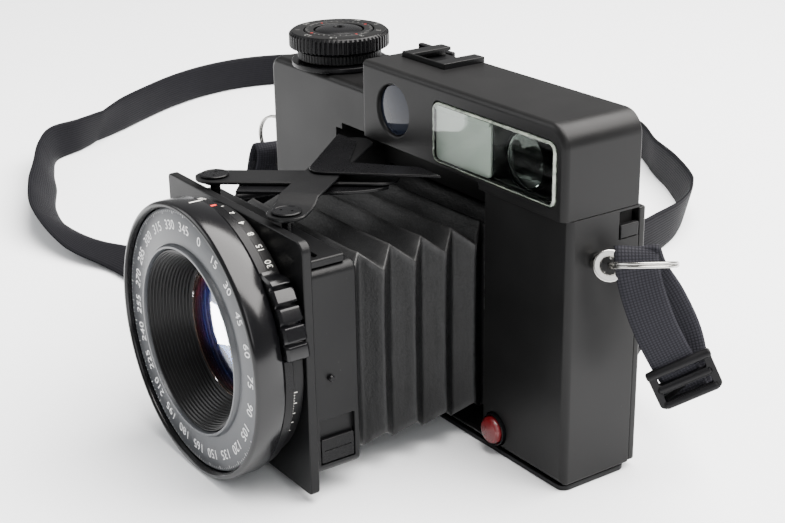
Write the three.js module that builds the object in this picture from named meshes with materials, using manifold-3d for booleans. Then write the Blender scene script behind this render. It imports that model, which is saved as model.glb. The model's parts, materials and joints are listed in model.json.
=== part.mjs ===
// Folding rangefinder camera for 6 x 7 cm roll film, standing on its base with the lens pulled out and
// its strap laid down.
// Millimetres, +Z up, the lens looks along -Y. The origin is the middle of the base's underside.
import * as THREE from "three";
import { mergeVertices } from "three/addons/utils/BufferGeometryUtils.js";
import Module from "manifold-3d";

const wasm = await Module();
wasm.setup();

// ---- Driving dimensions ----
const GAP = 0.3; // clearance between touching pieces
const BODY = { half: 81, front: -14, back: 12.3, floor: 2.1, top: 103, wall: 1.6, corner: 5 };
const HOUSING = { left: -19, front: -16.5, bottom: 86, top: 113.5, wall: 1.6, corner: 7 };
const BASE_THICK = 1.8;
const LENS = { x: 2, z: 43 }; // optical axis
const RECESS = { left: -38.7, right: 42.7, floor: 4, top: 86, back: 6.3 }; // well the lens folds into
const SLOT = { left: -35, right: 36, top: 88.2, back: 10.2 }; // strut slot over the well
const GATE = { width: 70, height: 56 }; // film frame
const FILM_Y = 8.5;
const CHAMBER = { left: [-77.5, -42], right: [46, 77.5], front: -11.3, floor: 6, top: 84 };
const DIAL = { x: -54.5, y: -1.7, r: 17.3, top: 115.2, bottom: 109.6 };
const COLLAR_R = 14.5;
const BUTTON_R = 8.4;
const RANGEFINDER = { x: -1.3, z: 100.2, r: 8.2 };
const FINDER = { left: 20, right: 77.5, bottom: 89, top: 108.6, corner: 3 };
const SHOE = { x: -2.6, half: 11.4, channel: 9.3, slot: 6.3, front: -4, top: 115.2, floor: 112.3 };
const PLATE = { left: -38.5, right: 42.5, bottom: 3, top: 82.4, front: -77.7, back: -74.7 };
const BLOCK = { left: -37, right: 41, bottom: 8, top: 73, front: -74.4, back: -59 };
const RING_R = 42.9;
const BARREL_R = 27.5;
const BELLOWS = { front: -58.7, back: 3.7, folds: 11, wide: 36, tall: 32, depth: 5, z: 39.5 };
const STRUT = { spread: 21.5, front: -71, centre: -44.4, width: 12, shortRear: 17, longRear: 30 };
const HINGE = { x: -83.6, y: 12.6, r: 2.1, pin: 1.1 };
const LUG = { x: 85, eye: 86.5, hole: 2.5, y: -4, z: 72.5 };
const RING = { r: 9.6, wire: 0.9 };
const STRAP = { width: 18, thick: 1.5 };

// ---- Helpers ----
const black = { color: 0x17181a, roughness: 0.5, metalness: 0.3 };
const gloss = { color: 0x0b0b0d, roughness: 0.2, metalness: 0.4 };
const dark = { color: 0x0e0e0f, roughness: 0.8, metalness: 0.1 };
const chrome = { color: 0xc9c9c6, roughness: 0.18, metalness: 1 };
const steel = { color: 0x8c8c8a, roughness: 0.35, metalness: 1 };
const clear = { color: 0x90a0b4, roughness: 0.05, metalness: 0 };
const webbing = { color: 0x141416, roughness: 0.9, metalness: 0 };

const camera = new THREE.Group();
camera.name = "folding_camera";

// A closed geometry as a manifold solid.
function solid(geometry) {
  if (geometry instanceof wasm.Manifold) return geometry;
  const bare = geometry.clone();
  bare.deleteAttribute("normal");
  bare.deleteAttribute("uv");
  const merged = mergeVertices(bare, 1e-4);
  return new wasm.Manifold(
    new wasm.Mesh({
      numProp: 3,
      vertProperties: merged.attributes.position.array,
      triVerts: new Uint32Array(merged.index.array),
    }),
  );
}

function join(first, ...others) {
  return others.reduce((sum, other) => sum.add(solid(other)), solid(first));
}

function cut(first, ...others) {
  return others.reduce((rest, other) => rest.subtract(solid(other)), solid(first));
}

function geometryOf(shape) {
  if (!(shape instanceof wasm.Manifold)) return shape;
  const mesh = shape.getMesh();
  const geometry = new THREE.BufferGeometry();
  geometry.setAttribute("position", new THREE.BufferAttribute(mesh.vertProperties, 3));
  geometry.setIndex(new THREE.BufferAttribute(mesh.triVerts, 1));
  geometry.computeVertexNormals();
  return geometry;
}

function part(name, shape, finish, parent = camera) {
  const mesh = new THREE.Mesh(geometryOf(shape), new THREE.MeshStandardMaterial(finish));
  mesh.name = name;
  parent.add(mesh);
  return mesh;
}

function box(x, y, z) {
  const size = [x, y, z].map(([low, high]) => high - low);
  const middle = [x, y, z].map(([low, high]) => (low + high) / 2);
  return new THREE.BoxGeometry(...size).translate(...middle);
}

// A rectangle with round corners, as a closed outline.
function roundedOutline(left, right, bottom, top, radius, Kind = THREE.Shape) {
  const outline = new Kind();
  const quarter = Math.PI / 2;
  outline.absarc(right - radius, bottom + radius, radius, -quarter, 0, false);
  outline.absarc(right - radius, top - radius, radius, 0, quarter, false);
  outline.absarc(left + radius, top - radius, radius, quarter, 2 * quarter, false);
  outline.absarc(left + radius, bottom + radius, radius, 2 * quarter, 3 * quarter, false);
  outline.closePath();
  return outline;
}

// An outline in X and Z, given its depth from front to back along Y.
function standing(outline, front, back, curveSegments = 5) {
  const geometry = new THREE.ExtrudeGeometry(outline,
    { depth: back - front, bevelEnabled: false, curveSegments });
  return geometry.rotateX(Math.PI / 2).translate(0, back, 0);
}

// An outline in X and Y, given its thickness from low to high along Z.
function lying(outline, low, high, curveSegments = 5) {
  const geometry = new THREE.ExtrudeGeometry(outline,
    { depth: high - low, bevelEnabled: false, curveSegments });
  return geometry.translate(0, 0, low);
}

function slab(x, y, z, radius) {
  return standing(roundedOutline(...x, ...z, radius), ...y);
}

// A solid of revolution about Y through the origin, from [radius, y] pairs.
function turned(profile, segments = 48) {
  const points = profile.map(([r, y]) => new THREE.Vector2(r, y));
  if (THREE.ShapeUtils.isClockWise(points)) points.reverse();
  return new THREE.LatheGeometry(points, segments);
}

// A hollow turned ring between two radii and two places along Y.
function turnedRing(inner, outer, low, high, segments = 48) {
  return turned([[inner, low], [outer, low], [outer, high], [inner, high], [inner, low]], segments);
}

function turnedDisc(radius, low, high, segments = 32) {
  return turned([[0, low], [radius, low], [radius, high], [0, high]], segments);
}

// The same shapes about a vertical axis at x, y.
function upright(geometry, x, y) {
  return geometry.rotateX(Math.PI / 2).translate(x, y, 0);
}

function along(geometry, x, z) {
  return geometry.translate(x, 0, z);
}

// ---- Casing ----
function makeBase() {
  const plate = lying(roundedOutline(-80.6, 80.6, -13.6, 12, 3), 0, BASE_THICK);
  const bushHole = upright(turnedDisc(5.3, -1, 3), -60, 0);
  const coverHole = upright(turnedDisc(9.3, -1, 3), 60, 0);
  part("base_plate", cut(plate, bushHole, coverHole), black);
  part("tripod_bush", upright(turnedRing(3.2, 5, 0.2, 5.6, 24), -60, 0), chrome);
  part("battery_cover", cut(upright(turnedDisc(9, 0.2, BASE_THICK), 60, 0),
    box([54, 66], [-0.6, 0.6], [0, 0.8])), steel);
}

const wellCut = box([RECESS.left, RECESS.right], [-30, RECESS.back], [RECESS.floor, RECESS.top]);
const slotCut = box([SLOT.left, SLOT.right], [-30, SLOT.back], [RECESS.top - 2, SLOT.top]);

function makeFrontCover() {
  const { half, front, back, floor, top, wall, corner } = BODY;
  const outer = slab([-half, half], [front, back], [floor, top], corner);
  const inner = slab([-half + wall, half - wall], [front + wall, back + 1], [floor + wall, top - wall],
    corner - wall);
  const cover = cut(
    outer,
    inner,
    wellCut,
    slotCut,
    box([HOUSING.left - GAP, half + 1], [front - 1, back + 1], [HOUSING.bottom - GAP, top + 1]),
    box([-half - 1, half + 1], [front + wall, back + 1], [floor - 1, floor + wall]),
    along(turnedDisc(5.5, -20, 0, 24), 48.7, 8.2),
    box([half - wall - 1, half + 1], [4.6, back + 1], [76.6, 85]),
  );
  part("front_cover", cover, black);
}

function makeCasting() {
  const depth = [BODY.front + BODY.wall + GAP, 12];
  const block = slab([-79.1, 79.1], depth, [4.1, HOUSING.bottom - 2 * GAP], 4);
  const foot = box([-74, 74], depth, [BASE_THICK + 2 * GAP, 6]);
  const gateX = [LENS.x - GATE.width / 2, LENS.x + GATE.width / 2];
  const gateZ = [LENS.z - GATE.height / 2, LENS.z + GATE.height / 2];
  const chambers = [CHAMBER.left, CHAMBER.right].map((x) =>
    box(x, [CHAMBER.front, 13], [CHAMBER.floor, CHAMBER.top]),
  );
  const casting = cut(
    join(block, foot),
    wellCut,
    slotCut,
    box(gateX, [0, 20], gateZ),
    box([-60, 60], [FILM_Y, 13], [9, 77]),
    ...chambers,
    along(turnedDisc(5.5, -20, -9, 24), 48.7, 8.2),
    box([-65.5, -54.5], [-5.5, 5.5], [0, 6.2]),
    box([78.2, 80], [4.3, 13], [76.3, 90]),
  );
  part("main_casting", casting, dark);
}

function makeHousing() {
  const { left, front, bottom, top, wall, corner } = HOUSING;
  const back = BODY.back;
  const outer = slab([left, BODY.half], [front, back], [bottom, top], corner);
  const squareFoot = box([left, BODY.half], [front, back], [bottom, bottom + corner]);
  const squareShoulder = box([left, left + corner], [front, back], [top - corner, top]);
  const inner = box([left + wall, BODY.half - wall], [front + wall, back - wall],
    [SLOT.top + wall, top - wall]);
  const overBody = box([left - 1, BODY.half + 1], [BODY.front + BODY.wall, back - wall],
    [bottom - 1, SLOT.top]);
  const throat = box([RECESS.left, RECESS.right], [front - 1, back - wall], [bottom - 1, SLOT.top]);
  const shoeBed = box([SHOE.x - SHOE.half - GAP, SHOE.x + SHOE.half + GAP], [SHOE.front, back + 1],
    [SHOE.floor - 1.1, top + 1]);
  const finder = standing(roundedOutline(FINDER.left, FINDER.right, FINDER.bottom, FINDER.top,
    FINDER.corner), front - 1, front + wall + 0.5);
  const housing = cut(
    join(outer, squareFoot, squareShoulder),
    inner,
    overBody,
    throat,
    shoeBed,
    finder,
    along(turnedDisc(RANGEFINDER.r, front - 1, front + wall + 0.5), RANGEFINDER.x, RANGEFINDER.z),
    along(turnedDisc(6.3, back - wall - 1, back + 1, 24), 68, 101),
  );
  part("finder_housing", housing, black);
}

function makeFinder() {
  const front = HOUSING.front;
  const pane = slab(
    [FINDER.left + GAP, FINDER.right - GAP], [front - 0.7, front + 1.2],
    [FINDER.bottom + GAP, FINDER.top - GAP], FINDER.corner - GAP,
  );
  part("viewfinder_window", pane, clear);
  part("frosted_panel", box([20.6, 47.2], [front + 2, front + 3], [91, 108]),
    { color: 0xc9ccc6, roughness: 0.6, metalness: 0 });
  part("finder_objective", slab([49, 76], [front + 2, front + 6], [91, 108], 2), clear);
  part("rangefinder_window", along(turnedDisc(RANGEFINDER.r - GAP, front + 0.4, front + 1.6),
    RANGEFINDER.x, RANGEFINDER.z), clear);
  part("eyepiece", along(turned([[4.6, 8.5], [6, 8.5], [6, 13], [7.4, 13], [7.4, 16], [4.6, 16],
    [4.6, 8.5]], 24), 68, 101), gloss);
  part("eyepiece_lens", along(turnedDisc(4.3, 12.5, 14.5, 24), 68, 101), clear);
}

// ---- Top deck ----
function makeTopDeck() {
  const dial = upright(
    turned([[BUTTON_R + GAP, DIAL.bottom], [DIAL.r, DIAL.bottom], [DIAL.r, DIAL.top - 0.6],
      [DIAL.r - 0.6, DIAL.top],
      [BUTTON_R + GAP, DIAL.top], [BUTTON_R + GAP, DIAL.bottom]], 48),
    DIAL.x, DIAL.y,
  );
  part("focus_dial", dial, gloss);
  part("dial_collar", upright(turnedRing(6, COLLAR_R, 105.4, DIAL.bottom - GAP, 32), DIAL.x, DIAL.y),
    black);
  const stem = turned([[0, 107], [4, 107], [4, 111], [BUTTON_R, 111], [BUTTON_R, 114.6],
    [BUTTON_R - 1.4, 115.4], [4, 115.8], [0, 115.9]], 32);
  part("shutter_button", upright(stem, DIAL.x, DIAL.y), black);

  const ring = upright(turnedRing(6, 16.6, BODY.top + GAP, 105, 24), DIAL.x, DIAL.y);
  const arm = new THREE.Shape();
  arm.moveTo(-46, -9);
  arm.lineTo(-30, 4);
  arm.quadraticCurveTo(-26, 14.6, -12, 14.8);
  arm.lineTo(-12, 16.8);
  arm.lineTo(-33, 16.8);
  arm.quadraticCurveTo(-40, 16.5, -56, 12);
  arm.closePath();
  const armPlate = lying(arm, BODY.top + GAP, 105);
  const tab = lying(roundedOutline(-31, -12, 14.6, 16.8, 1), BODY.top + GAP, 112);
  part("advance_lever", join(ring, armPlate, tab).subtract(solid(upright(turnedDisc(6, 100, 106, 24),
    DIAL.x, DIAL.y))), black);

  const { x, half, channel, slot, front, top, floor } = SHOE;
  const shoe = cut(
    box([x - half, x + half], [front + GAP, BODY.back], [floor - 0.8, top]),
    box([x - channel, x + channel], [front + 2, BODY.back + 1], [floor, top - 1.2]),
    box([x - slot, x + slot], [front + 1, BODY.back + 1], [floor, top + 1]),
  );
  part("accessory_shoe", shoe, black);
}

// ---- Film side ----
function makeDoor() {
  const side = 15.5;
  const bulge = 19;
  const outline = new THREE.Shape();
  outline.moveTo(-80.6, 12.6);
  outline.lineTo(-80.6, side - 1);
  outline.quadraticCurveTo(-80.4, side, -79, side);
  outline.bezierCurveTo(-50, side + 1, -48, bulge, -36, bulge);
  outline.lineTo(40, bulge);
  outline.bezierCurveTo(52, bulge, 54, side + 1, 79, side);
  outline.quadraticCurveTo(80.4, side, 80.6, side - 1);
  outline.lineTo(80.6, 12.6);
  outline.closePath();
  const knuckle = upright(turnedRing(HINGE.pin + GAP, HINGE.r, 22, 66, 20), HINGE.x, HINGE.y);
  const leaf = box([HINGE.x + 1.6, -79.6], [HINGE.y + 0.2, HINGE.y + 1.9], [22, 66]);
  const door = cut(
    join(lying(outline, 2.4, 84.6, 8), knuckle, leaf),
    box([-78.6, 78.6], [12, 14], [4.4, 82.6]),
    box([-34, 38], [12, 17], [10, 76]),
    upright(turnedDisc(HINGE.pin + GAP, 20, 70, 20), HINGE.x, HINGE.y),
  );
  part("back_door", door, black);
  const pin = [[0, 4], [HINGE.r, 4], [HINGE.r, 21.6], [HINGE.pin, 21.6], [HINGE.pin, 66.4],
    [HINGE.r, 66.4], [HINGE.r, 84], [0, 84]];
  part("hinge_pin", upright(turned(pin, 20), HINGE.x, HINGE.y), steel);
  part("pressure_plate", slab([-37, 41], [FILM_Y + 0.6, FILM_Y + 1.8], [11, 75], 3), gloss);
  const spring = new THREE.Shape();
  spring.moveTo(-30, 11.0);
  spring.quadraticCurveTo(2, 20.6, 34, 11.0);
  spring.lineTo(34, 10.6);
  spring.quadraticCurveTo(2, 20.2, -30, 10.6);
  spring.closePath();
  part("pressure_spring", lying(spring, 36, 50, 12), steel);
  part("door_latch", box([BODY.half - 1.4, BODY.half + 0.3], [4.9, 11.9], [76.9, 80.9]), black);

  const spool = [[0, 11.5], [12.2, 11.5], [12.2, 12.6], [6, 12.6], [6, 74.4], [12.2, 74.4], [12.2, 75.5],
    [0, 75.5]];
  part("takeup_spool", upright(turned(spool, 24), -59.7, 1.1),
    { color: 0x26262a, roughness: 0.5, metalness: 0 });
  ["left", "right"].forEach((hand, i) => {
    part("film_roller_" + hand, upright(turnedDisc(2.2, 6.4, 83.6, 16), i ? 48.6 : -44.6, 5.8), steel);
  });
}

// ---- Front release button and strap lugs ----
function makeRelease() {
  part("release_bezel", along(turnedRing(4.7, 5.2, -15, -12.9, 24), 48.7, 8.2), gloss);
  const cap = turned([[0, -17.2], [3.6, -17], [4.4, -16.2], [4.4, -12.6], [0, -12.6]], 24);
  part("release_button", along(cap, 48.7, 8.2), { color: 0x9c1218, roughness: 0.3, metalness: 0 });
}

function makeLug(side, name) {
  const stem = new THREE.CylinderGeometry(2.6, 2.6, 4.4,
    12).rotateZ(Math.PI / 2).translate(side * (LUG.x - 1.8), LUG.y, LUG.z);
  const holeAxis = new THREE.Vector3(side * 0.77, -0.53, 0.36).normalize();
  const turn = new THREE.Quaternion().setFromUnitVectors(new THREE.Vector3(0, 1, 0), holeAxis);
  const place = (shape) => shape.applyQuaternion(turn).translate(side * LUG.eye, LUG.y, LUG.z);
  const eye = place(turnedRing(LUG.hole, 4.7, -1.1, 1.1, 20));
  const hole = place(turnedDisc(LUG.hole, -9, 9, 20));
  part(name, cut(join(stem, eye), hole, box([-81.2, 81.2], [-30, 30], [0, 120])), chrome);
}

// A double-wound split ring that passes through a lug's eye: which way it hangs out from the eye, and
// its axis.
function makeSplitRing(name, side, hang, axis) {
  const centre = new THREE.Vector3(side * LUG.eye, LUG.y, LUG.z).addScaledVector(hang.normalize(),
    RING.r);
  axis.addScaledVector(hang, -axis.dot(hang)).normalize();
  const ring = new THREE.TorusGeometry(RING.r, RING.wire, 6, 28);
  ring.applyQuaternion(new THREE.Quaternion().setFromUnitVectors(new THREE.Vector3(0, 0, 1), axis));
  part(name, ring.translate(...centre), chrome);
}

// ---- Strap ----
// Each stop of the webbing's middle line: where it is, and which way its width points.
const strapRoute = [
  { at: [-98, -6, 56.4], wide: [0.2, 1, 0] },
  { at: [-101, -9, 46], wide: [0.2, 1, 0] },
  { at: [-104, -17, 30], wide: [0.4, 0.9, 0.1] },
  { at: [-110, -27, 16], wide: [0.6, -0.75, 0.5] },
  { at: [-124, -34, 7], wide: [0.5, -0.85, -0.1] },
  { at: [-145, -36, 4], wide: [0.4, -0.9, -0.2] },
  { at: [-168, -38, 3.5], wide: [0.4, -0.9, -0.2] },
  { at: [-192, -46, 4.5], wide: [0.2, -0.95, 0.1] },
  { at: [-222, -48, 8], wide: [-0.2, -0.8, 0.6] },
  { at: [-250, -40, 9], wide: [-0.2, -0.6, 0.8] },
  { at: [-278, -27, 9], wide: [-0.2, -0.5, 0.84] },
  { at: [-305, -15, 9.2], wide: [-0.15, -0.3, 0.94] },
  { at: [-325, -2, 9.3], wide: [0, -0.1, 1] },
  { at: [-331, 14, 9.5], wide: [0.2, -0.1, 0.97] },
  { at: [-341, 30, 9.2], wide: [0.5, -0.3, 0.8] },
  { at: [-354, 50, 9.8], wide: [0.1, -0.1, 1] },
  { at: [-368, 71, 9.6], wide: [0, 0, 1] },
  { at: [-380, 93, 9.8], wide: [0, 0, 1] },
  { at: [-390, 120, 9.6], wide: [0, 0, 1] },
  { at: [-392, 148, 9.4], wide: [0, 0, 1] },
  { at: [-382, 176, 9.2], wide: [0, 0, 1] },
  { at: [-352, 206, 9.2], wide: [0, 0, 1] },
  { at: [-306, 230, 9.2], wide: [0, 0, 1] },
  { at: [-252, 244, 9.2], wide: [0, 0, 1] },
  { at: [-200, 248, 9.2], wide: [0, 0, 1] },
  { at: [-152, 238, 9.2], wide: [0, 0, 1] },
  { at: [-124, 222, 9.2], wide: [0, 0, 1] },
  { at: [-100, 210, 9.3], wide: [0.1, 0.1, 0.95] },
  { at: [-74, 193, 9.1], wide: [0.3, 0.1, 0.9] },
  { at: [-56, 171, 9.2], wide: [0.2, 0, 0.95] },
  { at: [-46, 146, 9.3], wide: [0, 0, 1] },
  { at: [-38, 118, 9.3], wide: [0, 0, 1] },
  { at: [-22, 88, 9.3], wide: [0, 0, 1] },
  { at: [6, 64, 9.6], wide: [0, 0, 1] },
  { at: [34, 50, 14], wide: [-0.3, 0.2, 0.9] },
  { at: [56, 42, 27], wide: [0, 0.6, 0.7] },
  { at: [70, 36, 42], wide: [0.4, 0.8, 0.2] },
  { at: [81, 28, 54], wide: [0.55, 0.82, 0.1] },
  { at: [89, 19, 63], wide: [0.57, 0.82, 0] },
];

function makeStrap() {
  const path = new THREE.CatmullRomCurve3(strapRoute.map(({ at }) => new THREE.Vector3(...at)), false,
    "centripetal");
  const steps = strapRoute.length * 2;
  // The section's own directions follow the stated width instead of the curve's natural twist.
  path.computeFrenetFrames = (segments) => {
    const tangents = [];
    const normals = [];
    const binormals = [];
    for (let i = 0; i <= segments; i++) {
      const u = i / segments;
      const place = path.getUtoTmapping(u) * (strapRoute.length - 1);
      const first = Math.min(Math.floor(place), strapRoute.length - 2);
      const wide = new THREE.Vector3(...strapRoute[first].wide);
      wide.lerp(new THREE.Vector3(...strapRoute[first + 1].wide), place - first);
      const tangent = path.getTangentAt(u);
      wide.addScaledVector(tangent, -wide.dot(tangent)).normalize();
      tangents.push(tangent);
      normals.push(wide);
      binormals.push(new THREE.Vector3().crossVectors(tangent, wide));
    }
    return { tangents, normals, binormals };
  };
  const [x, y] = [STRAP.width / 2, STRAP.thick / 2];
  const section = new THREE.Shape([[x, -y], [x, y], [-x, y],
    [-x, -y]].map((corner) => new THREE.Vector2(...corner)));
  part("strap", new THREE.ExtrudeGeometry(section, { steps, extrudePath: path }), webbing);
}

// A slide buckle: a flat frame with a bar across its middle.
function makeBuckle(name, centre, wide, up) {
  const outer = roundedOutline(-11.5, 11.5, -7, 7, 2);
  [-1, 1].forEach((side) => outer.holes.push(roundedOutline(-9, 9, side * 3 - 1.6, side * 3 + 1.6, 0.8,
    THREE.Path)));
  const frame = new THREE.ExtrudeGeometry(outer, { depth: 2.4, bevelEnabled: false, curveSegments: 2 });
  const x = new THREE.Vector3(...wide).normalize();
  const y = new THREE.Vector3(...up);
  y.addScaledVector(x, -y.dot(x)).normalize();
  const mesh = part(name, frame, { color: 0x101011, roughness: 0.45, metalness: 0 });
  mesh.quaternion.setFromRotationMatrix(new THREE.Matrix4().makeBasis(x, y,
    new THREE.Vector3().crossVectors(x, y)));
  mesh.position.set(...centre);
}

function makeStrapHardware() {
  makeLug(-1, "lug_left");
  makeLug(1, "lug_right");
  makeSplitRing("split_ring_left", -1, new THREE.Vector3(-0.75, -0.1, -0.65),
    new THREE.Vector3(0.2, -0.97, -0.1));
  makeSplitRing("split_ring_right", 1, new THREE.Vector3(0.566, 0.824, 0),
    new THREE.Vector3(-0.3, 0.2, 0.93));
  makeBuckle("buckle_right", [100.6, 13.9, 37.9], [0.52, 0.74, 0.42], [-0.24, -0.34, 0.9]);
  makeBuckle("buckle_left", [-99.6, -11, 40], [0.2, 1, 0], [0.1, 0.5, 1]);
  makeStrap();
}

// ---- Lens standard ----
function makeStandard() {
  const lensHole = along(turnedDisc(BARREL_R + GAP, -100, 0, 48), LENS.x, LENS.z);
  const { left, right, bottom, top, front, back } = PLATE;
  part("lens_plate", cut(slab([left, right], [front, back], [bottom, top], 1.5), lensHole), black);
  const blockOuter = slab([BLOCK.left, BLOCK.right], [BLOCK.front, BLOCK.back], [BLOCK.bottom, BLOCK.top],
    3);
  const window = box([BLOCK.right - 1.6, BLOCK.right + 1], [-73, -61], [11, 25.6]);
  const pinHole = new THREE.CylinderGeometry(1.3, 1.3, 6, 16).rotateZ(Math.PI / 2).translate(BLOCK.right,
    -69, 38.8);
  part("shutter_housing", cut(blockOuter, lensHole, window, pinHole), black);
  part("sync_switch", box([BLOCK.right - 1.3, BLOCK.right - 0.1], [-72.7, -61.3], [11.4, 19.2]), black);
  const pin = new THREE.CylinderGeometry(1, 1, 3, 12).rotateZ(Math.PI / 2).translate(BLOCK.right - 0.1,
    -69, 38.8);
  part("side_pin", pin, steel);
  const ledge = cut(
    box([-36, 40], [BLOCK.front, -62], [BLOCK.top + GAP, 75.6]),
    box([-33.5, 37.5], [-72.5, -69.4], [74.4, 76]),
  );
  part("strut_ledge", ledge, black);
}

// The aperture ring's finger grip: an arc on its right side that reaches back over the speed ring.
function ringGrip() {
  const grip = new THREE.Shape();
  const low = 0.14;
  const high = 0.77;
  grip.absarc(0, 0, 45.6, low, high, false);
  grip.absarc(0, 0, 41.3, high, low, true);
  grip.closePath();
  return standing(grip, -85.4, -78.4, 12);
}

function makeLens() {
  const lens = new THREE.Group();
  lens.position.set(LENS.x, 0, LENS.z);
  camera.add(lens);
  const ridges = [];
  const ridgeCount = 4;
  for (let i = 0; i < ridgeCount; i++) {
    const t = i / ridgeCount;
    ridges.push([27.2 - 5.6 * t, -94 + 12 * t], [27.2 - 5.6 * (t + 0.6 / ridgeCount), -94 + 12 * t]);
  }
  part("front_ring", turned([[28.2, -86.3], [RING_R, -86.3], [RING_R, -94.6], [42.3, -95.3],
    [41.3, -95.3], [41, -94.6],
    [41, -91.6], [28.2, -91.6], [28.2, -86.3]], 48), gloss, lens);
  part("name_ring", turned([[28.3, -91.9], [28.3, -95], [29.5, -95], [29.8, -93.4], [40.7, -93.4],
    [40.7, -91.9], [28.3, -91.9]], 40), black, lens);
  part("lens_cone", turned([...ridges, [21.6, -82], [22.2, -81.2], [24.4, -86.2], [27.9, -93.2],
    [27.9, -94], ridges[0]], 32), dark, lens);
  const rim = turned([[28, -86], [41.4, -86], [41.8, -85.6], [41.8, -82.6], [28, -82.6], [28, -86]], 48);
  part("aperture_ring", join(rim, ringGrip()), gloss, lens);
  part("speed_ring", turned([[28, -82.3], [39.4, -82.3], [39.4, -78], [28, -78], [28, -82.3]], 48), black,
    lens);
  part("lens_barrel", turned([[25, -85.6], [BARREL_R, -85.6], [BARREL_R, -59.6], [15.9, -59.6],
    [15.9, -79.4], [25, -79.4], [25, -85.6]], 32), dark, lens);
  part("front_element", turned([[0, -83.2], [7, -82.9], [14, -82], [21, -80.6], [21, -79.8],
    [0, -79.8]], 32), clear, lens);
  part("aperture_blades", turnedRing(9, 15.5, -71, -70.4, 32), dark, lens);
  part("shutter_blades", turnedDisc(15.5, -69, -68.4), steel, lens);
  part("rear_element", turned([[0, -66], [15.4, -65.4], [15.4, -61.6], [10, -60.6], [0, -60]], 32), clear,
    lens);
}

// ---- Bellows ----
// A folded box: where the sides have a crest the top and bottom have a valley, half a pleat apart, and the
// wall is one closed skin open at both ends.
function makeBellows() {
  const { front, back, folds, wide, tall, depth, z: middle } = BELLOWS;
  const skin = 0.8;
  const ring = (inset, y, sidesOut) => {
    const halfX = (sidesOut ? wide : wide - depth) - inset;
    const halfZ = (sidesOut ? tall - depth : tall) - inset;
    return [[halfX, halfZ], [-halfX, halfZ], [-halfX, -halfZ],
      [halfX, -halfZ]].map(([x, z]) => [x + LENS.x, y, z + middle]);
  };
  const rings = [];
  for (let i = 0; i <= folds; i++) rings.push(ring(0, front + ((back - front) * i) / folds, i % 2 === 0));
  for (let i = folds; i >= 0; i--) rings.push(ring(skin, front + ((back - front) * i) / folds,
    i % 2 === 0));
  const corners = 4;
  const index = [];
  rings.forEach((_, r) => {
    const next = (r + 1) % rings.length;
    for (let c = 0; c < corners; c++) {
      const d = (c + 1) % corners;
      const [a, b, e, f] = [r * corners + c, r * corners + d, next * corners + c, next * corners + d];
      index.push(a, e, b, b, e, f);
    }
  });
  const geometry = new THREE.BufferGeometry();
  geometry.setAttribute("position", new THREE.Float32BufferAttribute(rings.flat(2), 3));
  geometry.setIndex(index);
  part("bellows", geometry, { color: 0x121213, roughness: 0.75, metalness: 0 });
  const frame = cut(
    slab([LENS.x - 38.5, LENS.x + 38.5], [4.2, 6], [6, 80], 2),
    box([LENS.x - 35, LENS.x + 35], [3, 7], [15, 71]),
  );
  part("bellows_frame", frame, dark);
  ["left", "right"].forEach((side, i) => {
    const x = i ? RECESS.right - 1.3 : RECESS.left + 0.3;
    part("focus_rail_" + side, box([x, x + 1], [-13, 3.6], [46, 62]), steel);
  });
}

// ---- Struts over the bellows ----
const reach = Math.hypot(STRUT.spread, STRUT.centre - STRUT.front);
const lean = Math.atan2(STRUT.spread, STRUT.centre - STRUT.front);

// A flat bar with round ends, from one distance to another along its own +Y.
function bar(from, to, low, high, width = STRUT.width) {
  const r = width / 2;
  const outline = new THREE.Shape();
  outline.absarc(0, from, r, Math.PI, 2 * Math.PI, false);
  outline.absarc(0, to, r, 0, Math.PI, false);
  outline.closePath();
  return lying(outline, low, high, 10);
}

function strutGroup(angle) {
  const group = new THREE.Group();
  group.position.set(LENS.x, STRUT.centre, 0);
  group.rotation.z = angle;
  camera.add(group);
  return group;
}

// The pin at a strut's front end: a post below the bar, a neck through it and a flat cap on top.
function strutPin() {
  const profile = [[0, 76], [1.6, 76], [1.6, 82.8], [3.4, 82.8], [3.4, 83.6], [1.6, 83.6],
    [1.6, 85.3], [4.5, 85.3], [4.5, 85.6], [3.9, 85.8], [0, 85.8]];
  return upright(turned(profile, 24), 0, -reach);
}

function makeStruts() {
  const centreHole = upright(turnedDisc(2.6, 80, 90, 20), 0, 0);
  const lower = strutGroup(-lean);
  const frontHole = upright(turnedDisc(1.9, 80, 90, 16), 0, -reach);
  part("strut_lower", cut(bar(-reach, STRUT.shortRear, 83.9, 85), centreHole, frontHole), black, lower);
  const guide = new THREE.Shape();
  guide.moveTo(-6, -26);
  guide.lineTo(10.8, -26);
  guide.lineTo(11, 0);
  guide.quadraticCurveTo(11, 14, 5, 20);
  guide.lineTo(-5, 20);
  guide.closePath();
  part("strut_guide_plate", cut(lying(guide, 82.6, 83.6, 8), centreHole), black, lower);
  part("strut_pin_lower", strutPin(), steel, lower);

  const upper = strutGroup(lean);
  const high = bar(-reach + 9, STRUT.longRear, 85.9, 86.9);
  const low = bar(-reach, -reach + 4, 83.9, 85);
  const step = box([-6, 6], [-reach + 7, -reach + 10.4], [83.9, 86.9]);
  part("strut_upper", cut(join(high, low, step), centreHole, frontHole), black, upper);
  part("strut_pin_upper", strutPin(), steel, upper);

  const centre = strutGroup(0);
  part("strut_pivot", upright(turned([[0, 81.6], [3.2, 81.6], [3.2, 82.3], [2.3, 82.3], [2.3, 86.9],
    [0, 86.9]], 20), 0, 0), steel, centre);
  const chevron = new THREE.Shape();
  const leg = 5.5;
  const half = 23;
  const rear = 23.4;
  chevron.absarc(0, 1, leg, Math.PI * 1.25, Math.PI * 1.75, false);
  chevron.lineTo(half + leg, rear);
  chevron.lineTo(half - leg, rear);
  chevron.lineTo(0, 9);
  chevron.lineTo(-half + leg, rear);
  chevron.lineTo(-half - leg, rear);
  chevron.closePath();
  part("strut_yoke", lying(chevron, 87.1, 87.9, 6), black, centre);
}

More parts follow.
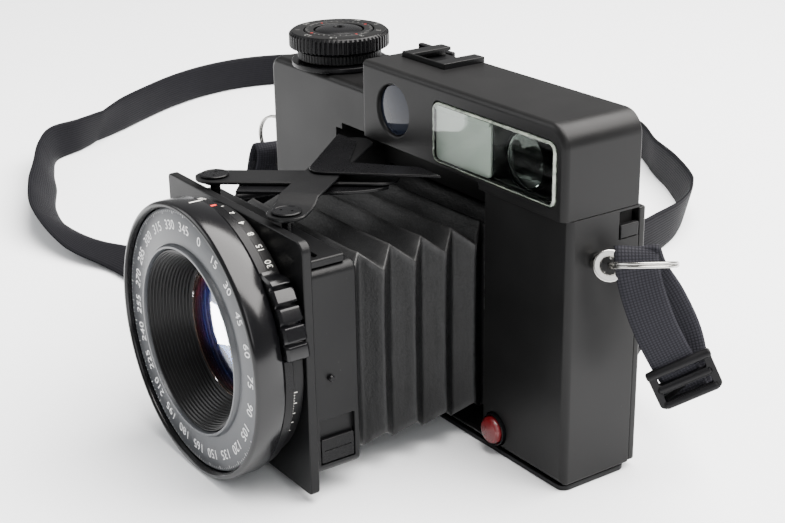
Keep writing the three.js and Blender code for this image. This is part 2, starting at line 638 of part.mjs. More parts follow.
makeBase();
makeFrontCover();
makeCasting();
makeHousing();
makeFinder();
makeTopDeck();
makeDoor();
makeRelease();
makeStandard();
makeLens();
makeBellows();
makeStruts();
makeStrapHardware();

export default camera;
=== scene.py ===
import json
import math

import bmesh
import bpy
import numpy as np
from mathutils import Matrix, Vector, noise

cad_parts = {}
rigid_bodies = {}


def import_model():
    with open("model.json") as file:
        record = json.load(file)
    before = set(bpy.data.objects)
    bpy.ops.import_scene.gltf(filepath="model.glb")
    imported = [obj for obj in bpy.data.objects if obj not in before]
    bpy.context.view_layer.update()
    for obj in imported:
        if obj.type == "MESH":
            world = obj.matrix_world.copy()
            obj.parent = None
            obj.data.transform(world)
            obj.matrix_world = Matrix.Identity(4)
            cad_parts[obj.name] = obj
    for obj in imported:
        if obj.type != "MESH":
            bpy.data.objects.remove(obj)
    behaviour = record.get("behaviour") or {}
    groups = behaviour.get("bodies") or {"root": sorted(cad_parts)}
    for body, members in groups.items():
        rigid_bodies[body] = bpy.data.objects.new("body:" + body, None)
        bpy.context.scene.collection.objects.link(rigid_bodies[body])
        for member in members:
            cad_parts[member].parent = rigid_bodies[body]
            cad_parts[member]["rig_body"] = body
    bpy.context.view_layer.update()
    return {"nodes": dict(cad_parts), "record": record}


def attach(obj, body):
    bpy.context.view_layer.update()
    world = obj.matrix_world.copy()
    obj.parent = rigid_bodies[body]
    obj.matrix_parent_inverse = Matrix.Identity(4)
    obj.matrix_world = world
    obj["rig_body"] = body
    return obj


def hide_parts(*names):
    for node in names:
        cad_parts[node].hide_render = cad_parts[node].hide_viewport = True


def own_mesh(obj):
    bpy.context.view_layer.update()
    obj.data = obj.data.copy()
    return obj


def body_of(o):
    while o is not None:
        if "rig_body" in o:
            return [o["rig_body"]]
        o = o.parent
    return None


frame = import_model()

MM = 0.001
scene = bpy.context.scene
nodes_by_name = frame["nodes"]
body_of_node = {n: b for b, names in frame["record"]["behaviour"]["bodies"].items() for n in names}

# ---- Driving places, in millimetres ----
HALF_WIDTH = 81          # of the casing
BACK = 12.3              # the casing's rear plane, as Y
DIAL_AT = (-54.5, -1.7)  # the dial's axis, as X and Y
DECK = 115.2             # the dial's face, as Z
LENS_AT = (2, 43)        # the lens axis, as X and Z
FACE = -93.4             # the lens face, as Y
FRONT_RIM = 42.9         # radius of the front ring
STOP_RIM = 41.8          # radius of the aperture ring
SPEED_RIM = 39.4         # radius of the speed ring
BORE = 27.8              # radius of the hole for the lens barrel
RELEASE_AT = (48.7, 8.2)
FINDER_AT = (62, 99.3)
RANGE_AT = (-1.3, 100.2)
EYE_AT = (68, 101)
LUG_EYE = (86.5, -4, 72.5)

# ---- Camera ----
SENSOR_WIDTH = 36
CAMERA_AT = Vector((0.37325, -0.27484, 0.22733))
AZIMUTH, ELEVATION, ROLL = (math.radians(a) for a in (55.502, 21.371, -0.935))
FOCAL = 68.466


def make_camera():
    data = bpy.data.cameras.new("camera")
    data.sensor_width = SENSOR_WIDTH
    data.lens = FOCAL
    camera = bpy.data.objects.new("camera", data)
    scene.collection.objects.link(camera)
    flat = math.cos(ELEVATION)
    back = Vector((math.sin(AZIMUTH) * flat, -math.cos(AZIMUTH) * flat, math.sin(ELEVATION)))
    right = (-back).cross(Vector((0, 0, 1))).normalized()
    up = right.cross(-back)
    turned_right = right * math.cos(ROLL) + up * math.sin(ROLL)
    turned_up = up * math.cos(ROLL) - right * math.sin(ROLL)
    facing = Matrix((turned_right, turned_up, back)).transposed().to_4x4()
    camera.matrix_world = Matrix.Translation(CAMERA_AT) @ facing
    scene.camera = camera


make_camera()


# ---- Materials ----
class Surface:
    """A node material under construction, with its textures in the object's own metres."""

    def __init__(self, name, color, rough, metal=0.0, use_uv=False):
        self.material = bpy.data.materials.new(name)
        self.material.use_nodes = True
        self.tree = self.material.node_tree
        self.shader = self.tree.nodes["Principled BSDF"]
        self.color = color
        self.shader.inputs["Base Color"].default_value = (*color, 1)
        self.shader.inputs["Roughness"].default_value = rough
        self.shader.inputs["Metallic"].default_value = metal
        self.coords = self.node("ShaderNodeTexCoord").outputs["UV" if use_uv else "Object"]

    def node(self, kind, **settings):
        made = self.tree.nodes.new(kind)
        for key, value in settings.items():
            setattr(made, key, value)
        return made

    def link(self, a, b):
        self.tree.links.new(a, b)

    def math(self, operation, a, b=None):
        made = self.node("ShaderNodeMath", operation=operation)
        for socket, value in zip(made.inputs, (a, b)):
            if value is None:
                continue
            if isinstance(value, (int, float)):
                socket.default_value = value
            else:
                self.link(value, socket)
        return made.outputs[0]

    def noise(self, scale, detail=3.0, stretch=(1, 1, 1), rough=0.5):
        mapping = self.node("ShaderNodeMapping")
        mapping.inputs["Scale"].default_value = stretch
        self.link(self.coords, mapping.inputs["Vector"])
        made = self.node("ShaderNodeTexNoise")
        made.inputs["Scale"].default_value = scale
        made.inputs["Detail"].default_value = detail
        made.inputs["Roughness"].default_value = rough
        self.link(mapping.outputs[0], made.inputs["Vector"])
        return made.outputs[0]

    def ramp(self, value, low, high, to_low=0.0, to_high=1.0):
        made = self.node("ShaderNodeMapRange")
        for socket, number in zip(list(made.inputs)[1:5], (low, high, to_low, to_high)):
            socket.default_value = number
        self.link(value, made.inputs[0])
        return made.outputs[0]

    def mix(self, factor, a, b):
        made = self.node("ShaderNodeMix", data_type="RGBA")
        if isinstance(factor, (int, float)):
            made.inputs[0].default_value = factor
        else:
            self.link(factor, made.inputs[0])
        for socket, value in ((made.inputs[6], a), (made.inputs[7], b)):
            if isinstance(value, tuple):
                socket.default_value = (*value, 1)
            else:
                self.link(value, socket)
        return made.outputs[2]

    def attribute(self, name):
        return self.node("ShaderNodeAttribute", attribute_name=name).outputs["Fac"]

    def paint(self, color):
        self.link(color, self.shader.inputs["Base Color"])

    def roughness(self, value):
        self.link(value, self.shader.inputs["Roughness"])

    def bump(self, height, depth_mm, strength=1.0):
        made = self.node("ShaderNodeBump")
        made.inputs["Strength"].default_value = strength
        made.inputs["Distance"].default_value = depth_mm * MM
        self.link(height, made.inputs["Height"])
        self.link(made.outputs[0], self.shader.inputs["Normal"])

    def set(self, **sockets):
        for name, value in sockets.items():
            self.shader.inputs[name.replace("_", " ")].default_value = value


DUST_GREY = (0.12, 0.118, 0.112)


def scaled(color, factor):
    return tuple(min(1.0, c * factor) for c in color)


def finished(name, color, rough, grain_mm=0.25, grain_depth=0.006, blotch=0.18, metal=0.0, coat=0.0, dust=0.0,
             shine=0.5):
    """A painted, moulded or polished surface: blotched tone, uneven gloss, fine grain and a little dust."""
    s = Surface(name, color, rough, metal)
    wide = s.noise(45, 4)
    fine = s.noise(1 / (grain_mm * MM), 2)
    tone = s.mix(s.ramp(wide, 0.3, 0.7), scaled(color, 1 - blotch), scaled(color, 1 + blotch))
    if dust:
        speck = s.ramp(s.noise(2300, 1), 0.81, 0.84)
        tone = s.mix(s.math("MULTIPLY", speck, dust), tone, DUST_GREY)
    s.paint(tone)
    uneven = s.ramp(wide, 0.3, 0.7, rough - 0.05, rough + 0.05)
    s.roughness(s.math("ADD", uneven, s.ramp(fine, 0.3, 0.7, -0.03, 0.03)))
    s.bump(fine, grain_depth)
    s.set(Specular_IOR_Level=shine)
    if coat:
        s.set(Coat_Weight=coat, Coat_Roughness=0.08)
    return s.material


def brushed(name, color, rough, stretch):
    """Bare metal with fine streaks."""
    s = Surface(name, color, rough, 1.0)
    streak = s.noise(900, 3, stretch)
    s.paint(s.mix(s.ramp(streak, 0.3, 0.7), scaled(color, 0.8), scaled(color, 1.12)))
    s.roughness(s.ramp(streak, 0.3, 0.7, rough * 0.7, rough * 1.4))
    s.bump(streak, 0.004)
    return s.material


def clear_glass(name, color, ior=1.5):
    """Clear glass with a few faint smears."""
    s = Surface(name, color, 0.0)
    s.set(Transmission_Weight=1.0, IOR=ior)
    s.roughness(s.ramp(s.noise(160, 3), 0.35, 0.8, 0.0, 0.03))
    return s.material


def woven(name, color, threads_across, pitch_mm=0.75):
    """Nylon webbing: threads across by threads along, in UV metres along the strap and across it, with
    painted light on the thread crests and painted shade in the hollows between them.
    """
    s = Surface(name, color, 0.62, use_uv=True)
    parts = s.node("ShaderNodeSeparateXYZ")
    s.link(s.coords, parts.inputs[0])
    along = s.math("MULTIPLY", parts.outputs[0], math.pi / (pitch_mm * MM))
    across = s.math("MULTIPLY", parts.outputs[1], math.pi * threads_across)
    over = s.math("MULTIPLY", s.math("SINE", along), s.math("SINE", across))
    ribs = s.math("ABSOLUTE", over)
    height = s.math("POWER", ribs, 0.6)
    fuzz = s.noise(2500, 2)
    # Painted light and shade: a shaded copy of the colour in the weave's hollows and a lit copy on the thread
    # crests.
    painted_weave_light_shade = s.mix(height, scaled(color, 0.25), scaled(color, 1.8))
    s.paint(s.mix(s.ramp(fuzz, 0.3, 0.8, 0.0, 0.5), painted_weave_light_shade, scaled(color, 2.2)))
    s.roughness(s.ramp(height, 0, 1, 0.8, 0.5))
    s.bump(height, 0.12, 0.8)
    s.set(Specular_IOR_Level=0.05)
    return s.material


def cloth_skin(name, color):
    """Coated bellows cloth: pebbled, paler and smoother where the folds rub."""
    s = Surface(name, color, 0.5)
    pebble = s.noise(1400, 3)
    wrinkle = s.noise(160, 4, (1, 3.0, 0.6))
    wear = s.math("MULTIPLY", s.attribute("wear"), s.ramp(s.noise(300, 4), 0.35, 0.65, 0.25, 1.0))
    tone = s.mix(s.ramp(wrinkle, 0.3, 0.7), scaled(color, 0.7), scaled(color, 1.35))
    s.paint(s.mix(s.math("MULTIPLY", wear, 0.6), tone, (0.05, 0.05, 0.05)))
    s.roughness(s.math("SUBTRACT", s.ramp(pebble, 0.3, 0.7, 0.44, 0.6), s.math("MULTIPLY", wear, 0.14)))
    height = s.math("ADD", pebble, s.math("MULTIPLY", wrinkle, 1.6))
    s.bump(height, 0.12, 1.0)
    s.set(Specular_IOR_Level=0.22)
    return s.material


CHARCOAL = (0.0058, 0.0058, 0.0059)
paint = finished("satin_black_paint", CHARCOAL, 0.38, dust=0.5, shine=0.12)
paint_dull = finished("matt_black_paint", (0.003, 0.0031, 0.0034), 0.42, grain_mm=0.35, grain_depth=0.012,
                      dust=0.7, shine=0.15)
gloss_black = finished("gloss_black_enamel", (0.0025, 0.0025, 0.003), 0.2, grain_depth=0.002, dust=0.3,
                       shine=0.3)
semi_gloss = finished("semi_gloss_black", (0.003, 0.003, 0.0034), 0.28, grain_depth=0.003, dust=0.3,
                      shine=0.12)
annulus_grey = finished("satin_lens_face", (0.045, 0.048, 0.053), 0.33, grain_mm=0.15, grain_depth=0.004,
                        blotch=0.1)
deep_black = finished("baffle_black", (0.003, 0.003, 0.003), 0.55, grain_mm=0.4, shine=0.2)
plastic_black = finished("moulded_black_plastic", (0.004, 0.004, 0.0045), 0.4, grain_mm=0.5,
                         grain_depth=0.015, dust=0.3, shine=0.1)
chrome = finished("worn_chrome", (0.36, 0.355, 0.34), 0.2, grain_mm=0.4, grain_depth=0.004, metal=1.0,
                  blotch=0.12)
steel = brushed("brushed_steel", (0.42, 0.42, 0.41), 0.3, (1, 14, 1))
red_plastic = finished("red_button_plastic", (0.1, 0.003, 0.005), 0.28, grain_depth=0.003, coat=0.08,
                       blotch=0.15)
white_fill = finished("white_engraving", (0.78, 0.77, 0.72), 0.5, blotch=0.08)
dim_fill = finished("worn_engraving", (0.16, 0.16, 0.155), 0.5, blotch=0.2)
face_fill = finished("face_engraving", (0.62, 0.62, 0.62), 0.5, blotch=0.08)
red_fill = finished("red_engraving", (0.62, 0.03, 0.02), 0.5, blotch=0.1)
frosted = finished("frosted_window", (0.6, 0.61, 0.59), 0.45, grain_mm=0.2, grain_depth=0.01, blotch=0.05)
window_glass = clear_glass("window_glass", (0.86, 0.93, 0.88))
finder_glass = clear_glass("finder_glass", (0.9, 0.92, 0.93))
webbing = woven("nylon_webbing", (0.0045, 0.0045, 0.0055), 15)
webbing_narrow = woven("nylon_webbing_end", (0.011, 0.011, 0.0135), 13, 0.8)
bellows_skin = cloth_skin("bellows_cloth", (0.0045, 0.0047, 0.005))


def coated_blue():
    """The rangefinder window: dark glass with a blue coating."""
    s = Surface("rangefinder_coating", (0.09, 0.11, 0.15), 0.06)
    s.paint(s.mix(s.ramp(s.noise(220, 3), 0.3, 0.7), (0.01, 0.0125, 0.022), (0.014, 0.018, 0.03)))
    s.set(Specular_IOR_Level=0.2)
    return s.material


def lens_coating():
    """The coated surface seen inside the lens: clear at the middle, violet and then red towards its rim."""
    s = Surface("lens_coating", (0.9, 0.95, 1.0), 0.02, 1.0)
    parts = s.node("ShaderNodeSeparateXYZ")
    s.link(s.coords, parts.inputs[0])
    across = s.math("POWER", s.math("ADD", parts.outputs[0], -LENS_AT[0] * MM), 2.0)
    up = s.math("POWER", s.math("ADD", parts.outputs[2], -LENS_AT[1] * MM), 2.0)
    radius = s.math("SQRT", s.math("ADD", across, up))
    tone = s.mix(s.ramp(radius, 0.0125, 0.0145), (0.93, 0.97, 1.0), (0.2, 0.42, 0.95))
    tone = s.mix(s.ramp(radius, 0.0145, 0.016), tone, (0.2, 0.12, 0.4))
    tone = s.mix(s.ramp(radius, 0.0172, 0.0182), tone, (0.5, 0.06, 0.09))
    s.paint(s.mix(s.ramp(radius, 0.0184, 0.0192), tone, (0.04, 0.02, 0.012)))
    s.roughness(s.ramp(s.noise(90, 2), 0.4, 0.9, 0.01, 0.03))
    return s.material


range_glass = coated_blue()
cone_black = finished("ribbed_baffle_black", (0.003, 0.003, 0.0033), 0.36, grain_mm=0.3, grain_depth=0.004,
                      shine=0.2)
rim_bronze = finished("bronze_glass_rim", (0.12, 0.075, 0.05), 0.3, grain_mm=0.3, grain_depth=0.004,
                      metal=0.4)
front_glass = clear_glass("lens_front_glass", (0.97, 0.97, 1.0), ior=1.35)
coating = lens_coating()


# ---- Mesh helpers (all lengths in millimetres) ----
def add_object(name, verts, faces, body, material, replaced=(), slot=None, flat_angle=30, clean=False):
    """A piece from its corners and faces, riding on a body. clean merges corners that meet, as on an axis."""
    data = bpy.data.meshes.new(name)
    data.from_pydata([tuple(c * MM for c in v) for v in verts], [], faces)
    data.validate()
    data.materials.append(material)
    made = bpy.data.objects.new(name, data)
    scene.collection.objects.link(made)
    work = bmesh.new()
    work.from_mesh(data)
    if clean:
        bmesh.ops.remove_doubles(work, verts=work.verts, dist=1e-7)
        bmesh.ops.dissolve_degenerate(work, edges=work.edges, dist=1e-8)
    bmesh.ops.recalc_face_normals(work, faces=work.faces)
    work.to_mesh(data)
    work.free()
    data.shade_smooth()
    if flat_angle:
        data.set_sharp_from_angle(angle=math.radians(flat_angle))
    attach(made, body)
    if replaced:
        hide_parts(*replaced)
    return made


def soften(made, width, segments=3, angle=32):
    """A small round on every sharp edge, with flat faces kept flat."""
    for edge in made.data.edges:
        edge.use_edge_sharp = False
    bevel = made.modifiers.new("edge_round", "BEVEL")
    bevel.width = width * MM
    bevel.segments = segments
    bevel.limit_method = "ANGLE"
    bevel.angle_limit = math.radians(angle)
    bevel.use_clamp_overlap = False
    bevel.harden_normals = True
    weighted = made.modifiers.new("even_normals", "WEIGHTED_NORMAL")
    weighted.weight = 90
    return made


def settle(made):
    """Applies a piece's modifiers to its mesh."""
    evaluated = made.evaluated_get(bpy.context.evaluated_depsgraph_get())
    data = bpy.data.meshes.new_from_object(evaluated)
    old = made.data
    made.modifiers.clear()
    made.data = data
    bpy.data.meshes.remove(old)
    return made


def carve(made, *cutters):
    """Cuts other pieces out of one and removes them."""
    for cutter in cutters:
        modifier = made.modifiers.new("cut", "BOOLEAN")
        modifier.operation = "DIFFERENCE"
        modifier.solver = "EXACT"
        modifier.object = cutter
        settle(made)
        bpy.data.objects.remove(cutter)
    return made


def weld(made, *others):
    for other in others:
        modifier = made.modifiers.new("join", "BOOLEAN")
        modifier.operation = "UNION"
        modifier.solver = "EXACT"
        modifier.object = other
        settle(made)
        bpy.data.objects.remove(other)
    return made


def loft(rings, closed_ends=True, wrap=False, open_rings=False):
    """Faces between rings of equal length. wrap joins the last ring to the first, open_rings leaves each
    ring's last point unjoined to its first."""
    count = len(rings[0])
    verts = [p for ring in rings for p in ring]
    faces = []
    for r in range(len(rings) - (0 if wrap else 1)):
        nxt = (r + 1) % len(rings)
        for c in range(count - (1 if open_rings else 0)):
            d = (c + 1) % count
            faces.append((r * count + c, r * count + d, nxt * count + d, nxt * count + c))
    if closed_ends and not wrap:
        faces.append(tuple(range(count)))
        faces.append(tuple(reversed(range((len(rings) - 1) * count, len(rings) * count))))
    return verts, faces


def round_rect(x0, x1, y0, y1, radius, steps=6):
    """A rectangle's outline with round corners: one radius, or four anticlockwise from the high corner."""
    radii = [radius] * 4 if isinstance(radius, (int, float)) else radius
    high_high, low_high, low_low, high_low = (max(r, 0.01) for r in radii)
    corners = ((x1, y0, high_low, -90), (x1, y1, high_high, 0), (x0, y1, low_high, 90),
               (x0, y0, low_low, 180))
    points = []
    for cx, cy, r, start in corners:
        cx += -r if cx == x1 else r
        cy += -r if cy == y1 else r
        for i in range(steps + 1):
            a = math.radians(start + 90 * i / steps)
            points.append((cx + r * math.cos(a), cy + r * math.sin(a)))
    return points


def slab(name, body, material, u, v, w, corner, low=0.4, high=0.4, axis="Y", steps=6, round_steps=3, **more):
    """A rounded slab. u and v span its face, w is its thickness along the axis, low and high are its edge
    rounds. The face's directions are X and Z for axis Y, X and Y for axis Z, and Y and Z for axis X."""
    rings = []
    corners = [corner] * 4 if isinstance(corner, (int, float)) else corner

    def ring(inset, at):
        radii = [max(c - inset, 0.02) for c in corners]
        flat = round_rect(u[0] + inset, u[1] - inset, v[0] + inset, v[1] - inset, radii, steps)
        if axis == "Y":
            return [(p, at, q) for p, q in flat]
        if axis == "Z":
            return [(p, q, at) for p, q in flat]
        return [(at, p, q) for p, q in flat]

    for i in range(round_steps + 1):
        a = math.pi / 2 * i / round_steps
        rings.append(ring(low * (1 - math.sin(a)), w[0] + low * (1 - math.cos(a))))
    for i in range(round_steps + 1):
        a = math.pi / 2 * i / round_steps
        rings.append(ring(high * (1 - math.cos(a)), w[1] - high * (1 - math.sin(a))))
    verts, faces = loft(rings)
    return add_object(name, verts, faces, body, material, **more)


def turned(name, body, material, profile, centre, axis="Y", steps=128, **more):
    """A solid of revolution from (radius, place along the axis) pairs about an axis through centre. The
    profile starts and ends on the axis, or closes on itself."""
    rings = []
    for s in range(steps):
        a = 2 * math.pi * s / steps
        ring = []
        for r, t in profile:
            p, q = centre[0] + r * math.cos(a), centre[1] + r * math.sin(a)
            ring.append((p, t, q) if axis == "Y" else (p, q, t) if axis == "Z" else (t, p, q))
        rings.append(ring)
    verts, faces = loft(rings, closed_ends=False, wrap=True, open_rings=profile[0][0] == 0)
    return add_object(name, verts, faces, body, material, clean=True, **more)


def block(u, v, w, corner=0.1, axis="Y", steps=6):
    """A plain block to carve with, in slab's directions."""
    return slab("cutter", "body", paint, u, v, w, corner, low=0.01, high=0.01, axis=axis, steps=steps)


def rod(radius, low, high, centre, axis="Y", steps=128):
    """A plain rod to carve with."""
    profile = [(0, low), (radius, low), (radius, high), (0, high)]
    return turned("cutter", "body", paint, profile, centre, axis=axis, steps=steps)


def refined(node, material, width=0.3, segments=2, name=None):
    """A CAD node's own shape with its edges rounded."""
    made = bpy.data.objects.new(name or node + "_skin", nodes_by_name[node].data.copy())
    scene.collection.objects.link(made)
    made.data.materials.clear()
    made.data.materials.append(material)
    work = bmesh.new()
    work.from_mesh(made.data)
    bmesh.ops.remove_doubles(work, verts=work.verts, dist=2e-6)
    bmesh.ops.dissolve_limit(work, angle_limit=math.radians(1.0), verts=work.verts, edges=work.edges)
    work.to_mesh(made.data)
    work.free()
    for layer in list(made.data.attributes):
        if layer.name.startswith("custom_normal"):
            made.data.attributes.remove(layer)
    made.data.shade_smooth()
    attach(made, body_of_node[node])
    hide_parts(node)
    if width:
        soften(made, width, segments)
    return made


# ---- Strap ----
# The middle line's stops in millimetres, each with the direction of the webbing's width.
STRAP_ROUTE = [
    ((-98, -6, 56.4), (0.2, 1, 0)), ((-101, -9, 46), (0.2, 1, 0)), ((-104, -17, 30), (0.4, 0.9, 0.1)),
    ((-110, -27, 16), (0.6, -0.75, 0.5)), ((-124, -34, 7), (0.5, -0.85, -0.1)),
    ((-145, -36, 4), (0.4, -0.9, -0.2)), ((-168, -38, 3.5), (0.4, -0.9, -0.2)),
    ((-192, -46, 4.5), (0.2, -0.95, 0.1)), ((-222, -48, 8), (-0.2, -0.8, 0.6)),
    ((-250, -40, 9), (-0.2, -0.6, 0.8)), ((-278, -27, 9), (-0.2, -0.5, 0.84)),
    ((-305, -15, 9.2), (-0.15, -0.3, 0.94)), ((-325, -2, 9.3), (0, -0.1, 1)),
    ((-331, 14, 9.5), (0.2, -0.1, 0.97)), ((-341, 30, 9.2), (0.5, -0.3, 0.8)),
    ((-354, 50, 9.8), (0.1, -0.1, 1)), ((-368, 71, 9.6), (0, 0, 1)), ((-380, 93, 9.8), (0, 0, 1)),
    ((-390, 120, 9.6), (0, 0, 1)), ((-392, 148, 9.4), (0, 0, 1)), ((-382, 176, 9.2), (0, 0, 1)),
    ((-352, 206, 9.2), (0, 0, 1)), ((-306, 230, 9.2), (0, 0, 1)), ((-252, 244, 9.2), (0, 0, 1)),
    ((-200, 248, 9.2), (0, 0, 1)), ((-152, 238, 9.2), (0, 0, 1)), ((-124, 222, 9.2), (0, 0, 1)),
    ((-100, 210, 9.3), (0.1, 0.1, 0.95)), ((-74, 193, 9.1), (0.3, 0.1, 0.9)),
    ((-56, 171, 9.2), (0.2, 0, 0.95)), ((-46, 146, 9.3), (0, 0, 1)), ((-38, 118, 9.3), (0, 0, 1)),
    ((-22, 88, 9.3), (0, 0, 1)), ((6, 64, 9.6), (0, 0, 1)), ((34, 50, 14), (-0.3, 0.2, 0.9)),
    ((56, 42, 27), (0, 0.6, 0.7)), ((70, 36, 42), (0.4, 0.8, 0.2)), ((78, 28.5, 51), (0.55, 0.82, 0.1)),
    ((83.5, 21.5, 58), (0.57, 0.82, 0)),
]
STRAP_WIDTH, STRAP_THICK = 18, 1.5


def smooth_route(stops, per_stop=10):
    """A centripetal Catmull-Rom curve through the stops, as (point, width direction, tangent) lists."""
    at = [np.array(p, float) for p, _ in stops]
    wide = [np.array(w, float) for _, w in stops]
    first, last = 2 * at[0] - at[1], 2 * at[-1] - at[-2]
    full = [first, *at, last]
    out = []
    for i in range(len(at) - 1):
        p0, p1, p2, p3 = full[i:i + 4]
        d0, d1, d2 = (max(np.linalg.norm(b - a), 1e-4) ** 0.5 for a, b in ((p0, p1), (p1, p2), (p2, p3)))
        t1 = ((p1 - p0) / d0 - (p2 - p0) / (d0 + d1) + (p2 - p1) / d1) * d1
        t2 = ((p2 - p1) / d1 - (p3 - p1) / (d1 + d2) + (p3 - p2) / d2) * d1
        steps = per_stop + (1 if i == len(at) - 2 else 0)
        for k in range(steps):
            t = k / per_stop
            a = 2 * p1 - 2 * p2 + t1 + t2
            b = -3 * p1 + 3 * p2 - 2 * t1 - t2
            point = ((a * t + b) * t + t1) * t + p1
            tangent = (3 * a * t + 2 * b) * t + t1
            tangent /= np.linalg.norm(tangent)
            w = wide[i] * (1 - t) + wide[i + 1] * t
            w = w - tangent * w.dot(tangent)
            out.append((point, w / np.linalg.norm(w), tangent))
    return out


def ribbon(name, route, width, thick, body, material, width_at=lambda t: 1.0, **more):
    """Flat webbing with rounded selvedges along a route, with UVs in metres along it and 0 to 1 across it."""
    half_steps = 10
    section = []
    for i in range(half_steps + 1):
        x = -1 + 2 * i / half_steps
        section.append((x, 1 - abs(x) ** 8 * 0.75))
    section += [(x, -edge) for x, edge in reversed(section)]
    rings, marks = [], []
    run = 0.0
    previous = route[0][0]
    for index, (point, wide, tangent) in enumerate(route):
        run += float(np.linalg.norm(point - previous))
        previous = point
        face = np.cross(tangent, wide)
        w = width * width_at(index / (len(route) - 1))
        rings.append([tuple(point + wide * (x * w / 2) + face * (edge * thick / 2)) for x, edge in section])
        marks += [(run * MM, (x + 1) / 2) for x, _ in section]
    verts, faces = loft(rings)
    made = add_object(name, verts, faces, body, material, **more)
    layer = made.data.uv_layers.new(name="weave")
    for loop in made.data.loops:
        layer.data[loop.index].uv = marks[loop.vertex_index]
    return made


def taper(t):
    """How much of its width the strap shows along its length: bunched a little at its ends."""
    return 0.86 if t < 0.02 else min(1.0, max(0.5, 1 - (t - 0.9) * 8))


strap_line = smooth_route(STRAP_ROUTE)
strap = ribbon("strap_webbing", strap_line, STRAP_WIDTH, STRAP_THICK, "body", webbing, width_at=taper,
               replaced=["strap"], slot="strap_webbing", flat_angle=0)

# The ends: webbing folded over each split ring and down through the slide buckle.
END_WIDTH, END_THICK = 12.6, 1.3
RIGHT_END = [
    ((100.9, 16.6, 31.4), (0.52, 0.74, 0.42)), ((100.2, 14.4, 36.6), (0.52, 0.74, 0.42)),
    ((98.8, 10.6, 43.4), (0.53, 0.76, 0.34)), ((96.4, 5.9, 53.6), (0.55, 0.8, 0.2)),
    ((94.3, 2.9, 63), (0.566, 0.824, 0.08)), ((92.4, 1.5, 71.2), (0.566, 0.824, 0.03)),
    ((91.0, 2.0, 75.4), (0.566, 0.824, 0)), ((89.6, 3.3, 76.9), (0.566, 0.824, 0)),
    ((88.9, 4.9, 75.2), (0.566, 0.824, 0)), ((89.6, 7.4, 69), (0.566, 0.824, 0.05)),
    ((92.2, 12.6, 60), (0.55, 0.82, 0.12)), ((95.6, 16.6, 49), (0.54, 0.78, 0.25)),
    ((98.6, 17.0, 40), (0.52, 0.74, 0.42)), ((100.4, 17.9, 33.2), (0.52, 0.74, 0.42)),
]
LEFT_END = [
    ((-98.4, -7, 52), (0.2, 1, 0)), ((-96.6, -6.2, 58), (0.2, 1, 0)), ((-97, -5.8, 62.6), (0.2, 1, 0)),
    ((-99.6, -5.6, 64), (0.2, 1, 0)), ((-101.6, -6.2, 60), (0.2, 1, 0)), ((-102.2, -8.2, 50), (0.2, 1, 0)),
    ((-102.4, -11.5, 40), (0.25, 0.97, 0.05)),
]
strap_extras = [ribbon("strap_end_" + hand, smooth_route(stops, 6), END_WIDTH, END_THICK, "body",
                       webbing_narrow, slot="strap_webbing", flat_angle=0)
                for hand, stops in (("right", RIGHT_END), ("left", LEFT_END))]


def wire_ring(name, side, hang, axis, replaced):
    """A split ring: two close turns of round wire through the lug's eye."""
    hang, axis = Vector(hang).normalized(), Vector(axis)
    axis = (axis - hang * axis.dot(hang)).normalized()
    cross = axis.cross(hang)
    turns, steps, radius, wire = 2.15, 150, 9.6, 0.46
    centre = Vector((side * LUG_EYE[0], *LUG_EYE[1:])) + hang * radius
    rings = []
    for i in range(steps + 1):
        t = i / steps
        a = 2 * math.pi * turns * t
        lift = (max(0.0, min(1.0, (t - 0.4) / 0.2)) - 0.5) * 2 * 0.47
        out = hang * math.cos(a) + cross * math.sin(a)
        at = centre + out * radius + axis * lift
        size = wire * (0.35 if i in (0, steps) else 1)
        rings.append([tuple(at + (out * math.cos(b) + axis * math.sin(b)) * size)
                      for b in (2 * math.pi * k / 10 for k in range(10))])
    verts, faces = loft(rings)
    return add_object(name, verts, faces, "body", chrome, replaced=[replaced], slot="bright_chrome",
                      flat_angle=60)


strap_extras += [
    wire_ring("key_ring_left", -1, (-0.75, -0.1, -0.65), (0.2, -0.97, -0.1), "split_ring_left"),
    wire_ring("key_ring_right", 1, (0.566, 0.824, 0), (-0.3, 0.2, 0.93), "split_ring_right"),
]


def slide_buckle(name, node, centre, wide, up):
    """A moulded tri-glide: thick rounded frame with a round middle bar."""
    x = Vector(wide).normalized()
    y = Vector(up)
    y = (y - x * y.dot(x)).normalized()
    z = x.cross(y)
    basis = Matrix((x, y, z)).transposed().to_4x4()

    frame_bars = slab(name, "body", plastic_black, (-9.6, 9.6), (-6.4, 6.4), (0, 1.9), 1.8, low=0.5, high=0.5,
                      axis="Z", replaced=[node], slot="black_plastic")
    carve(frame_bars, *[block((-7.2, 7.2), v, (-1, 4), 0.8, axis="Z") for v in ((-4.4, -1.3), (1.3, 4.4))])
    rods = []
    for v, size, half in ((5.3, 1.35, 9.9), (0, 1.15, 8.2), (-5.3, 1.35, 8.2)):
        profile = [(0, -half), (size - 0.5, -half), (size, 0.5 - half), (size, half - 0.5),
                   (size - 0.5, half), (0, half)]
        rods.append(turned("rod", "body", plastic_black, profile, (v, 1.35), axis="X", steps=32))
    weld(frame_bars, *rods)
    soften(frame_bars, 0.3, 2)
    frame_bars.data.transform(Matrix.Translation([c * MM for c in centre]) @ basis)
    return frame_bars


strap_extras += [
    slide_buckle("slide_buckle_right", "buckle_right", (100.6, 13.9, 37.9), (0.52, 0.74, 0.42),
                 (-0.24, -0.34, 0.9)),
    slide_buckle("slide_buckle_left", "buckle_left", (-99.6, -11, 40), (0.2, 1, 0), (0.1, 0.5, 1)),
]


